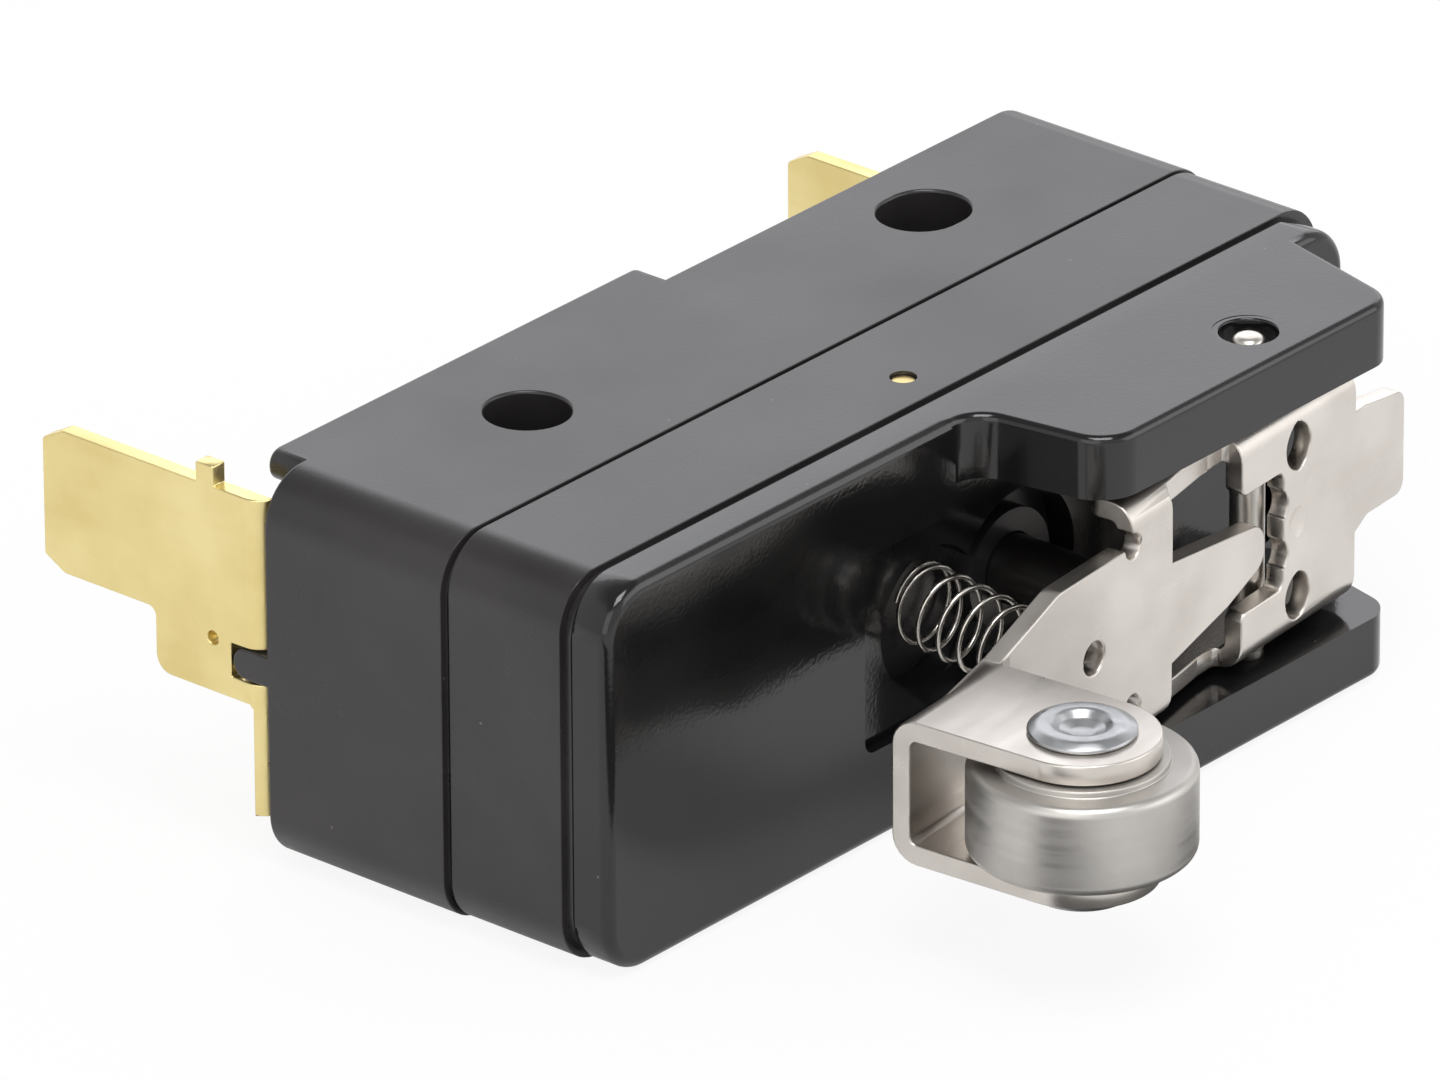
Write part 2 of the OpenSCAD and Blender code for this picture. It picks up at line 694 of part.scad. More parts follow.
// Front block with rounded front edges and end corners
module housing_block() {
  z0 = housing_inset_side;
  z1 = case_t - housing_inset_side;
  deep = cover_y + front_r + end_r;
  intersection() {
    slab_y(front_y, cover_y) rounded_rect(block_x0, block_x1, z0, z1, corner_r);
    slab_x(block_x0, block_x1) rounded_rect(front_y, deep, z0, z1, front_r);
    slab_z(z0, z1) rounded_rect(block_x0, block_x1, front_y, deep, end_r);
  }
}

module housing_ears() {
  z0 = housing_inset_side;
  z1 = case_t - housing_inset_side;
  difference() {
    intersection() {
      slab_z(z0, z1) ear_plan();
      slab_x(block_x0, block_x1)
        polygon([[ear_y, z0 + ear_draft], [cover_y, z0], [cover_y, z1], [ear_y, z1 - ear_draft]]);
    }
    translate([block_x0, ear_y - eps, mid_z - ear_gap / 2])
      cube([block_x1 - block_x0, ear_reach + eps, ear_gap]);
  }
}

module cover_pin() {
  translate([cross_pin_x, cover_y + cross_pin_back, cross_pin_sink])
    cylinder(d = cross_pin_d, h = tongue_cover + tongue_t - cross_pin_sink);
}

module cover_pin_lower() { color(brass) cover_pin(); }

module cover_pin_upper() { color(brass) mirrored_side(1) cover_pin(); }

// Plunger: domed tip on the lever, collar behind the cover wall, nose on the blade
module plunger() {
  r = plunger_d / 2;
  nose = plunger_nose_d / 2;
  collar = plunger_collar_d / 2;
  h1 = plunger_nose_l;
  h2 = h1 + plunger_collar_t;
  h3 = h2 + plunger_collar_y - plunger_tip_y;
  color(black) turned_y(plunger_x, plunger_collar_y + plunger_collar_t + plunger_nose_l, mid_z)
    rounded_poly([[0, 0], [nose, 0], [nose, h1], [collar, h1], [collar, h2], [r, h2], [r, h3], [0, h3]],
                 [0, plunger_nose_r, 0, 0, 0, 0, plunger_tip_r, 0]);
}

// Places the lever's own frame: u along the plate, y towards the case, at the hinge
module at_hinge() {
  translate([hinge_x, hinge_y, 0]) rotate([0, 0, lever_tilt]) children();
}

module lever() {
  color(nickel) at_hinge() difference() {
    union() {
      lever_plate();
      lever_fork();
      lever_flanges();
    }
    slab_y(-plate_front - eps, -plate_gap + eps) {
      lever_window();
      for (side = [-1, 1]) {
        translate([relief_u, mid_z + side * relief_z]) lens(relief_w, relief_h);
      }
      translate([-spring_hole_u, mid_z - spring_hole_drop]) circle(d = spring_hole_d);
    }
    for (side = [0, 1]) mirrored_side(side) bend_relief();
    translate([0, 0, -eps]) cylinder(d = hinge_pin_d + 2 * run_gap, h = case_t);
    translate([-lever_reach, -roller_stand, -eps]) cylinder(d = axle_d + 2 * fit_gap, h = case_t);
    translate([dimple_u, -plate_front - dimple_ball + dimple_depth, mid_z]) sphere(dimple_ball);
  }
}

// Flat plate from the fork to the flanges, and the tail beyond the hinge
module lever_plate() {
  top = plate_z1;
  neck = fork_u1;
  tail_z0 = mid_z + tail_lift - tail_h / 2;
  tail_z1 = tail_z0 + tail_h;
  slab_y(-plate_front, -plate_gap) {
    rounded_poly([[fork_u0 + bend_r, fork_z0 + bend_r], [neck, fork_z0], [-shoulder_u, plate_z0],
                  [-flange_near + sheet, plate_z0], [-flange_near + sheet, top], [-shoulder_u, top],
                  [neck, fork_z1 - eps], [fork_u0 + bend_r, fork_z1 - bend_r]],
                 [0, neck_r, shoulder_r, 0, 0, shoulder_r, neck_r, 0]);
    rounded_poly([[flange_far - sheet, tail_z0 - tail_flare_low], [flange_far + sheet, tail_z0],
                  [tail_l, tail_z0], [tail_l, tail_z1], [flange_far + sheet, tail_z1 + tail_flare_up],
                  [flange_far - sheet, tail_z1 + tail_flare_up]],
                 [0, tail_r, tail_r, tail_r, tail_r / 2, 0]);
  }
}

// Fork arms bent forwards from the plate, rounded round the roller's axis
module lever_fork() {
  intersection() {
    slab_x(fork_u0, fork_u1)
      rounded_poly([[-plate_gap, fork_z0], [-plate_gap, fork_z1],
                    [-roller_stand - fork_w, fork_z1], [-roller_stand - fork_w, fork_z1 - sheet],
                    [-plate_front, fork_z1 - sheet], [-plate_front, fork_z0 + sheet],
                    [-roller_stand - fork_w, fork_z0 + sheet], [-roller_stand - fork_w, fork_z0]],
                   [bend_r, bend_r, 0, 0, bend_r - sheet, bend_r - sheet, 0, 0]);
    slab_z(fork_z0, fork_z1) {
      translate([-lever_reach, -roller_stand]) circle(d = fork_w);
      translate([fork_u0, -roller_stand]) square([fork_w, roller_stand - plate_gap]);
    }
  }
}

// Channel with two flanges bent back between the ears, drilled for the hinge pin
module lever_flanges() {
  intersection() {
    slab_x(-flange_near, flange_far)
      rounded_poly([[-plate_front, flange_z0], [flange_back, flange_z0], [flange_back, flange_z0 + sheet],
                    [-plate_gap, flange_z0 + sheet], [-plate_gap, flange_z1 - sheet],
                    [flange_back, flange_z1 - sheet], [flange_back, flange_z1], [-plate_front, flange_z1]],
                   [bend_r, 0, 0, bend_r - sheet, bend_r - sheet, 0, 0, bend_r]);
    slab_z(flange_z0, flange_z1)
      rounded_poly([[-flange_near, -plate_front], [flange_far, -plate_front], [flange_far, flange_tip],
                    [flange_back, flange_back], [-flange_back, flange_back], [-flange_near, flange_tip]],
                   [0, 0, flange_tip_r, flange_back_r, flange_back_r, flange_tip_r]);
  }
}

// Window round the pointed tongue, with lugs left at the flange corners
module lever_window() {
  lo = flange_z0 + bend_r;
  hi = flange_z1 - bend_r;
  difference() {
    union() {
      rounded_poly([[-window_near, lo], [-lug_u, lo], [-lug_u, flange_z0 + lug_h], [0, flange_z0 + lug_h],
                    [0, flange_z1 - lug_h], [-lug_u, flange_z1 - lug_h], [-lug_u, hi], [-window_near, hi]],
                   [0, 0, window_r, window_r, window_r, window_r, 0, 0]);
      for (s = [-1, 1]) translate([-scallop_u, mid_z + s * scallop_z]) circle(scallop_r);
    }
    rounded_poly([[-window_near - eps, mid_z - tongue_drop - tongue_root / 2],
                  [-window_near / 2, mid_z - tongue_belly],
                  [-tongue_tip, mid_z - tongue_tip_r], [-tongue_tip, mid_z + tongue_tip_r],
                  [-window_near - eps, mid_z - tongue_drop + tongue_root / 2]],
                 [0, 0, tongue_tip_r, tongue_tip_r, 0]);
  }
}

// Cut-back of the lower bend beside the window, and the nick at the flange end
module bend_relief() {
  slab_z(flange_z0 - eps, flange_z0 + bend_r + eps)
    rounded_poly([[-window_near, -plate_front - eps], [-lug_u, -plate_front - eps], [-lug_u, -relief_back],
                  [-lug_u - relief_w, -relief_back], [-window_near, -plate_gap]],
                 [0, 0, relief_r, relief_r, relief_r]);
  slab_y(-plate_front - eps, -plate_gap + eps) translate([-flange_near - eps, plate_z0 - eps]) circle(nick);
}

module hinge_pin() {
  z0 = ear_face_z() + pin_sink;
  l = case_t - 2 * z0;
  r = hinge_pin_d / 2;
  color(steel) translate([hinge_x, hinge_y, z0])
    rotate_extrude() rounded_poly([[0, 0], [r, 0], [r, l], [0, l]], [0, pin_dome_r, pin_dome_r, 0]);
}

// Share of the spring's length after t turns: a closed turn, open turns, a closed turn
function coil_share(t) =
  t < 1 ? coil_wire * t / coil_l
  : t < 1 + coil_turns
    ? (coil_wire + (t - 1) * (coil_l - 2 * coil_wire) / coil_turns) / coil_l
    : 1 - coil_wire * (2 + coil_turns - t) / coil_l;

// Ring of points round the wire, whose coils stay parallel to the cover as they lean
function wire_ring(t, n) =
  let (turned = coil_start - 360 * t, out = [cos(turned), 0, sin(turned)])
    [for (k = [0:n - 1])
      coil_from + coil_share(t) * (coil_to - coil_from)
        + (coil_d / 2 + coil_wire / 2 * cos(360 * k / n)) * out
        + coil_wire / 2 * sin(360 * k / n) * [0, 1, 0]];

module return_spring() {
  sides = 8;
  per_turn = 20;
  rings = round((coil_turns + 2) * per_turn);
  points = [for (i = [0:rings]) each wire_ring(i / per_turn, sides)];
  walls = [for (i = [0:rings - 1], k = [0:sides - 1])
    [i * sides + k, i * sides + (k + 1) % sides, (i + 1) * sides + (k + 1) % sides, (i + 1) * sides + k]];
  caps = [[for (k = [sides - 1:-1:0]) k], [for (k = [0:sides - 1]) rings * sides + k]];
  color(steel) polyhedron(points, concat(walls, caps));
}

module roller() {
  z0 = fork_z0 + sheet + roller_gap;
  z1 = fork_z1 - sheet - roller_gap;
  rb = axle_d / 2 + run_gap;
  rh = hub_d / 2;
  ro = roller_d / 2;
  color(steel) at_hinge() translate([-lever_reach, -roller_stand, 0]) rotate_extrude()
    rounded_poly([[rb, z0], [rh, z0], [rh, z0 + hub_h], [ro, z0 + hub_h],
                  [ro, z1 - hub_h], [rh, z1 - hub_h], [rh, z1], [rb, z1]],
                 [0, 0, 0, roller_edge, roller_edge, 0, 0, 0]);
}

// Hollow rivet through the fork arms and the roller
module roller_rivet() {
  r = axle_d / 2;
  rh = axle_head_d / 2;
  hollow = axle_hollow_d / 2;
  deep = axle_head_h + sheet;
  color(zinc) at_hinge() translate([-lever_reach, -roller_stand, 0]) rotate_extrude()
    rounded_poly([[0, fork_z0 - axle_head_h], [rh, fork_z0 - axle_head_h], [rh, fork_z0], [r, fork_z0],
                  [r, fork_z1], [rh, fork_z1], [rh, fork_z1 + axle_head_h],
                  [hollow, fork_z1 + axle_head_h], [axle_floor_d / 2, fork_z1 + axle_head_h - deep],
                  [0, fork_z1 + axle_head_h - deep]],
                 [0, axle_head_r, 0, 0, 0, 0, axle_head_r, axle_hollow_r, axle_hollow_r, 0]);
}

// Radius that fits beside another on a step of the given width
function step_r(step, r) = max(0, min(r, step / 2 - eps));

// Tab plate standing on the back face: shoulders, then the tab with its lead-in
module tab_outline(z0, z1, t0, t1) {
  y1 = tab_end - tab_l;
  rounded_poly([[base_back, z0], [y1, z0], [y1, t0], [tab_end - tab_lead, t0], [tab_end, t0 + tab_lead_w],
                [tab_end, t1 - tab_lead_w], [tab_end - tab_lead, t1], [y1, t1], [y1, z1], [base_back, z1]],
               [0, step_r(t0 - z0, tab_shoulder_r), step_r(t0 - z0, tab_root_r), tab_tip_r, tab_tip_r,
                tab_tip_r, tab_tip_r, step_r(z1 - t1, tab_root_r), step_r(z1 - t1, tab_shoulder_r), 0]);
}

// Sheet bent from a foot on the back face into a standing tab, foot towards +X
module bent_sheet(x, dir, l) {
  outer = foot_bend + tab_t;
  translate([x, 0, 0]) mirror([dir < 0 ? 1 : 0, 0, 0]) intersection() {
    slab_z(0, case_t)
      rounded_poly([[0, base_back], [l, base_back], [l, base_back + tab_t], [tab_t, base_back + tab_t],
                    [tab_t, tab_end], [0, tab_end]],
                   [outer, 0, 0, foot_bend, 0, 0]);
    union() children();
  }
}

module rivet_hole(x) {
  slab_y(base_back - eps, base_back + tab_t + eps) translate([x, mid_z]) circle(d = rivet_d + 2 * fit_gap);
}

module foot_plate(l, z0, z1) {
  slab_y(base_back, base_back + tab_t) rounded_rect(0, l, z0, z1, foot_r);
}

// Common tab at the left end: tab towards the upper side, notched for the key
module side_tab(l, x_rivet) {
  top = case_t - tab_edge;
  low = top - shoulder_w;
  difference() {
    union() {
      slab_x(0, tab_t) tab_outline(low, top, top - tab_w, top);
      slab_x(0, tab_t) translate([base_back + nib_y, top - eps]) square([nib_l, nib_h + eps]);
      foot_plate(l, foot_edge, foot_edge + foot_w);
    }
    slab_x(-eps, key_l + 2 * fit_gap)
      translate([base_back - eps, mid_z - key_w / 2 - slide_gap])
        square([key_h + slide_gap, key_w + 2 * slide_gap]);
    slab_x(-eps, tab_t + eps) translate([base_back + sight_y, mid_z + sight_z]) circle(d = sight_d);
    rivet_hole(x_rivet);
  }
}

module terminal_common() {
  color(brass) bent_sheet(x_left, 1, foot_l) side_tab(foot_l, common_rivet_in);
}

module terminal_normally_open() {
  l = open_foot + rivet_head_d / 2 + foot_over;
  color(brass) mirrored_side(1) bent_sheet(open_rivet_x + open_foot, -1, l) side_tab(l, open_foot);
}

module terminal_normally_closed() {
  x = x_right - closed_tab_inset;
  rivet_in = closed_rivet_in - closed_tab_inset;
  l = rivet_in + rivet_head_d / 2 + foot_over;
  t0 = mid_z - tab_w / 2;
  t1 = mid_z + tab_w / 2;
  color(brass) bent_sheet(x, -1, l) difference() {
    union() {
      slab_x(0, tab_t) tab_outline(t0 - closed_step, t1 + closed_step, t0, t1);
      foot_plate(l, t0 - closed_step, t1 + closed_step);
    }
    rivet_hole(rivet_in);
  }
}

// Rivet through a tab's foot, the base and the contact carrier
module tab_rivet(x) {
  r = rivet_d / 2;
  head = rivet_head_d / 2;
  clench = clench_d / 2;
  h0 = rivet_head_h;
  h1 = h0 + tab_t + base_back - floor_y + carrier_t;
  color(brass) turned_y(x, base_back + tab_t + rivet_head_h, mid_z)
    rounded_poly([[0, 0], [head, 0], [head, h0], [r, h0], [r, h1], [clench, h1], [clench, h1 + clench_h],
                  [0, h1 + clench_h]],
                 [0, rivet_head_r, 0, 0, 0, 0, clench_r, 0]);
}

module rivet_common() { tab_rivet(common_rivet_x); }

module rivet_normally_open() { tab_rivet(open_rivet_x); }

module rivet_normally_closed() { tab_rivet(closed_rivet_x); }

// Strip of carrier sheet bent in the XY plane, drilled for its rivet
module carrier(path, x_rivet) {
  difference() {
    slab_z(mid_z - carrier_w / 2, mid_z + carrier_w / 2) polygon(path);
    slab_y(floor_y - carrier_t - eps, floor_y + eps)
      translate([x_rivet, mid_z]) circle(d = rivet_d + 2 * fit_gap);
  }
}

// Anchor: foot under the common rivet, shelf for the blade, post for its bowed leg
module blade_anchor() {
  x0 = common_rivet_x - clench_d / 2 - carrier_over;
  x1 = common_rivet_x + clench_d / 2 + carrier_over;
  x2 = pivot_x + pivot_over / 2;
  x3 = pivot_x + bow_near;
  shelf = blade_back_y + shelf_gap;
  low = floor_y - carrier_t;
  path = [[x0, floor_y], [x0, low], [x1, low], [x1, shelf], [x2, shelf], [x2, shelf + carrier_t],
          [x1 + carrier_t, shelf + carrier_t], [x1 + carrier_t, low], [x3 - carrier_t, low],
          [x3 - carrier_t, shelf + bow_gap], [x3, shelf + bow_gap], [x3, floor_y]];
  color(copper) carrier(path, common_rivet_x);
}

// Spring blade: a window with a bowed leg that springs back towards the anchor
module snap_blade() {
  x0 = pivot_x - pivot_over;
  x1 = contact_x + blade_over;
  w0 = pivot_x + bow_near;
  w1 = w0 + bow_l;
  wide = bow_w / 2 + bow_gap;
  r = (bow_l * bow_l / 4 + bow_sag * bow_sag) / (2 * bow_sag);
  color(copper) union() {
    difference() {
      slab_y(blade_front_y, blade_back_y)
        rounded_rect(x0, x1, mid_z - blade_w / 2, mid_z + blade_w / 2, blade_r);
      slab_y(blade_front_y - eps, blade_back_y + eps)
        rounded_rect(w0 - bow_free, w1, mid_z - wide, mid_z + wide, bow_r);
      slab_y(blade_front_y - eps, blade_back_y + eps)
        translate([contact_x, mid_z]) circle(d = moving_d / 2 + 2 * fit_gap);
    }
    slab_z(mid_z - bow_w / 2, mid_z + bow_w / 2) intersection() {
      translate([(w0 + w1) / 2, blade_back_y + bow_sag - r]) difference() {
        circle(r);
        circle(r - blade_t);
      }
      translate([w0, blade_front_y]) square([bow_l + blade_t, bow_sag + blade_t + eps]);
    }
  }
}

module moving_contact() {
  r = moving_d / 2;
  stem = moving_d / 4;
  total = 2 * moving_h + blade_t;
  color(silver) turned_y(contact_x, blade_back_y + moving_h, mid_z)
    rounded_poly([[0, 0], [r, 0], [r, moving_h], [stem, moving_h], [stem, moving_h + blade_t],
                  [r, moving_h + blade_t], [r, total], [0, total]],
                 [0, contact_r, 0, 0, 0, 0, contact_r, 0]);
}

module contact_strip() {
  x0 = open_rivet_x - clench_d / 2 - carrier_over;
  x1 = contact_x + fixed_d / 2 + carrier_over;
  low = floor_y - carrier_t;
  color(copper) carrier([[x0, low], [x1, low], [x1, floor_y], [x0, floor_y]], open_rivet_x);
}

// Bracket that carries the closed contact over the blade's end
module contact_bracket() {
  x0 = closed_rivet_x - clench_d / 2 - carrier_over;
  x1 = closed_rivet_x + clench_d / 2 + bracket_gap;
  x2 = x1 + carrier_t;
  xc = contact_x - fixed_d / 2 - carrier_over;
  low = floor_y - carrier_t;
  outer_y = bracket_y - carrier_t;
  path = [[x0, low], [x1, low], [x1, bracket_y], [xc, bracket_y], [xc, outer_y], [x2, outer_y],
          [x2, floor_y], [x0, floor_y]];
  color(copper) carrier(path, closed_rivet_x);
}

// Contact button with a softly rounded face
module fixed_contact(y_face) {
  r = fixed_d / 2;
  translate([contact_x, y_face, mid_z]) rotate([-90, 0, 0]) rotate_extrude()
    rounded_poly([[0, 0], [r, 0], [r, fixed_t], [0, fixed_t]], [0, contact_r, 0, 0]);
}

module fixed_contact_open() { color(silver) fixed_contact(fixed_open_y); }

module fixed_contact_closed() {
  color(silver) translate([0, 2 * fixed_closed_y, 0]) mirror([0, 1, 0]) fixed_contact(fixed_closed_y);
}

base();
cover();
lever_housing();
cover_pin_upper();
cover_pin_lower();
plunger();
lever();
hinge_pin();
return_spring();
roller();
roller_rivet();
terminal_common();
terminal_normally_open();
terminal_normally_closed();
rivet_common();
rivet_normally_open();
rivet_normally_closed();
blade_anchor();
snap_blade();
moving_contact();
contact_strip();
contact_bracket();
fixed_contact_open();
fixed_contact_closed();
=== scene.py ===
# %% [markdown]
# A snap-action switch with a sprung roller lever: three black mouldings, a folded lever with a roller,
# and three brass tabs behind. The exact solids of the switch are loaded first and stay where they are:
# they are the ruler for the lesson. They could be shown as they are, but exact solids have knife edges,
# and the eye reads size and material from the thin highlights along rounded ones. So each visible
# piece is modelled again with softened edges, in the place of its solid.

# %% Load the solids
import math

import bmesh
import bpy
from mathutils import Matrix, Vector


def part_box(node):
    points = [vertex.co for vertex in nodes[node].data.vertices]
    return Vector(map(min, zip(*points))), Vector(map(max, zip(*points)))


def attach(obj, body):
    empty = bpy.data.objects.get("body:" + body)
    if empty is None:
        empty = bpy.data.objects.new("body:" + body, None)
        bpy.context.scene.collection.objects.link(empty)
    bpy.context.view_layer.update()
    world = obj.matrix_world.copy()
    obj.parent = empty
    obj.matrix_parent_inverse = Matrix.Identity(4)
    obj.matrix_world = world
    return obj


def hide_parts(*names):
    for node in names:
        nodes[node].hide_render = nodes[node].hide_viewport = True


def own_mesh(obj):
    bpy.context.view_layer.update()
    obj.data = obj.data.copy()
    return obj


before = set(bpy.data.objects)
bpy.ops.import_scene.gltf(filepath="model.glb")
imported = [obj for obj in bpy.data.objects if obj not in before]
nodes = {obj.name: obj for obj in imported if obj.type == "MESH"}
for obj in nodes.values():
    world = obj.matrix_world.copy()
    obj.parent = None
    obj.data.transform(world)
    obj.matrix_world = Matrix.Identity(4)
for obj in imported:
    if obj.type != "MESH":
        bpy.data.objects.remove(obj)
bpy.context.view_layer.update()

# %% [markdown]
# The lesson thinks in millimetres, because that is how such a switch is drawn, and scales each mesh to
# metres as its last step. X runs along the case, Z along the mounting holes, and Y through its layers,
# from the tabs at the back to the lever in front. Only places that several pieces share stand here.
# All other sizes are named beside the piece that they belong to.

# %% Shared places
MM = 0.001
CASE_T = 17.5
MID_Z = CASE_T / 2
LEFT, RIGHT = -11.9, 37.3
BACK_Y, JOINT_Y, COVER_Y, FRONT_Y, EAR_Y = 3.95, -5.7, -12.1, -14.0, -20.3
CORNER = 2.3
HINGE = Vector((25.0, -17.8, 0.0))
TILT = math.radians(4.95)
print(f"case {RIGHT - LEFT:.1f} x {BACK_Y - EAR_Y:.2f} x {CASE_T} mm without tabs and lever")

# %% [markdown]
# The camera stands where the photographer stood: far away with a very long lens, so the edges hardly
# converge. It could be aimed with a constraint, but a turn worked out once stays put in every view.
# The focal length in pixels becomes a lens in millimetres on a 36 mm sensor.

# %% Camera
PHOTO_W, PHOTO_H, FOCAL_PX = 1440, 1080, 18575.6
AZIMUTH, ELEVATION, ROLL = math.radians(-49.5627), math.radians(25.8055), math.radians(-0.3151)
STAND = Vector((-518.246, -451.977, 344.031)) * MM
camera = bpy.data.objects.new("camera", bpy.data.cameras.new("camera"))
bpy.context.scene.collection.objects.link(camera)
bpy.context.scene.camera = camera
camera.data.sensor_width = 36.0
camera.data.lens = FOCAL_PX / PHOTO_W * camera.data.sensor_width
camera.data.clip_start, camera.data.clip_end = 0.05, 20.0
back = Vector((math.sin(AZIMUTH) * math.cos(ELEVATION),
               -math.cos(AZIMUTH) * math.cos(ELEVATION), math.sin(ELEVATION)))
camera.location = STAND
look = (-back).to_track_quat("-Z", "Y").to_matrix().to_4x4()
camera.rotation_euler = (look @ Matrix.Rotation(ROLL, 4, "Z")).to_euler()
bpy.context.view_layer.update()
middle = camera.matrix_world.inverted() @ (Vector(((LEFT + RIGHT) / 2, 0.0, CASE_T)) * MM)
print("middle of the upper side at pixel", round(PHOTO_W / 2 - FOCAL_PX * middle.x / middle.z, 1),
      round(PHOTO_H / 2 + FOCAL_PX * middle.y / middle.z, 1))

# %% [markdown]
# Every finish is built from the same few patterns. They could be painted on unwrapped pieces, but
# noise on Object coordinates needs no unwrapping, stays with the piece from every side and never
# shows a seam. A pattern is stretched for rolling or drawing marks, and turned to follow the sheet.

# %% Patterns
EVEN = (1.0, 1.0, 1.0)


def link(tree, source, target):
    tree.links.new(source, target)


def object_place(tree):
    return tree.nodes.new("ShaderNodeTexCoord").outputs["Object"]


def noise(tree, scale, stretch=EVEN, detail=4.0, centre=(0.0, 0.0, 0.0), turn=0.0):
    """Noise on Object coordinates: scale per metre, stretched along the axes, turned about Z."""
    mapping = tree.nodes.new("ShaderNodeMapping")
    mapping.vector_type = "TEXTURE"
    mapping.inputs["Location"].default_value = centre
    mapping.inputs["Rotation"].default_value = (0.0, 0.0, turn)
    mapping.inputs["Scale"].default_value = stretch
    grain = tree.nodes.new("ShaderNodeTexNoise")
    grain.inputs["Scale"].default_value = scale
    grain.inputs["Detail"].default_value = detail
    link(tree, object_place(tree), mapping.inputs["Vector"])
    link(tree, mapping.outputs["Vector"], grain.inputs["Vector"])
    return grain.outputs["Fac"]


print("patterns read Object coordinates")

# %% [markdown]
# A pattern is a grey value from 0 to 1. Three small helpers turn it into what a surface needs: a ramp
# makes colours of it, a range makes roughness of it, and a bump node makes slight hollows of it. Bumps
# are chained, so that coarse waves and fine grain add up. All this could be wired by hand in each
# material, but thirteen finishes would then be thirteen copies of the same nodes.

# %% From pattern to surface
def ramp(tree, value, stops):
    """Colour ramp through (position, colour) stops."""
    node = tree.nodes.new("ShaderNodeValToRGB")
    band = node.color_ramp
    while len(band.elements) < len(stops):
        band.elements.new(0.5)
    for element, (place, colour) in zip(band.elements, stops):
        element.position = place
        element.color = (*colour, 1.0)
    link(tree, value, node.inputs["Fac"])
    return node.outputs["Color"]


def span(tree, value, low, high, start=0.3, end=0.7):
    """Maps a value between start and end onto the range from low to high."""
    node = tree.nodes.new("ShaderNodeMapRange")
    for name, number in zip(("From Min", "From Max", "To Min", "To Max"), (start, end, low, high)):
        node.inputs[name].default_value = number
    link(tree, value, node.inputs["Value"])
    return node.outputs["Result"]


def bump(tree, height, strength, distance, after=None):
    """A bump of some metres' height, on top of the bump before it."""
    node = tree.nodes.new("ShaderNodeBump")
    node.inputs["Strength"].default_value = strength
    node.inputs["Distance"].default_value = distance
    link(tree, height, node.inputs["Height"])
    if after is not None:
        link(tree, after, node.inputs["Normal"])
    return node.outputs["Normal"]


def start_material(name, metallic=0.0, specular=0.5):
    material = bpy.data.materials.new(name)
    material.use_nodes = True
    shader = material.node_tree.nodes["Principled BSDF"]
    shader.inputs["Metallic"].default_value = metallic
    shader.inputs["Specular IOR Level"].default_value = specular
    return material, material.node_tree, shader


print("surfaces take colour, gloss and bump from patterns")

# %% [markdown]
# The case is black phenolic moulding. One flat black could be set on the shader, but real resin clouds
# slightly, its skin varies in gloss, handling leaves hairlines, and dust sits on it as pale specks. The
# specks are the cell centres of a Voronoi pattern, cut so small that only dots remain.

# %% Black mouldings
CLOUD, SKIN, SPECKS, HAIRLINES, GRAIN, WAVES = 160.0, 90.0, 420.0, 900.0, 5200.0, 110.0
DUST, SPECK_R = (0.16, 0.155, 0.15, 1.0), 0.035


def dusted(tree, colour):
    """Pale specks of dust over a colour."""
    cells = tree.nodes.new("ShaderNodeTexVoronoi")
    cells.inputs["Scale"].default_value = SPECKS
    link(tree, object_place(tree), cells.inputs["Vector"])
    dots = ramp(tree, cells.outputs["Distance"], [(0.0, (1.0, 1.0, 1.0)), (SPECK_R, (0.0, 0.0, 0.0))])
    mix = tree.nodes.new("ShaderNodeMix")
    mix.data_type = "RGBA"
    mix.inputs["B"].default_value = DUST
    link(tree, dots, mix.inputs["Factor"])
    link(tree, colour, mix.inputs["A"])
    return mix.outputs["Result"]


def moulding(name, dark, light, rough, wave=0.0, specular=0.5):
    """Black resin: clouded and dusty, uneven in gloss, with grain, hairlines and broad waves."""
    material, tree, shader = start_material(name, specular=specular)
    body = ramp(tree, noise(tree, CLOUD, detail=6.0), [(0.35, dark), (0.65, light)])
    link(tree, dusted(tree, body), shader.inputs["Base Color"])
    skin = noise(tree, SKIN, detail=8.0, centre=(0.3, 0.1, 0.2))
    link(tree, span(tree, skin, *rough), shader.inputs["Roughness"])
    relief = bump(tree, noise(tree, GRAIN, detail=2.0), strength=0.10, distance=0.00004)
    hairlines = noise(tree, HAIRLINES, (9.0, 0.35, 9.0), 3.0, turn=0.5)
    relief = bump(tree, hairlines, strength=0.05, distance=0.00006, after=relief)
    if wave:
        waves = noise(tree, WAVES, (1.0, 1.0, 1.6), 1.0)
        relief = bump(tree, waves, strength=wave, distance=0.0006, after=relief)
    link(tree, relief, shader.inputs["Normal"])
    return material


print("moulding recipe ready, dust of", round(2000 * SPECK_R / SPECKS, 2), "mm")

# %% [markdown]
# The base and the cover come from one press and are satin and slightly grey. The lever housing is
# darker and glossier: it nearly mirrors, and its broad waves bend what it mirrors, as on any large
# moulded face. One recipe with other numbers gives all four, so they look related.

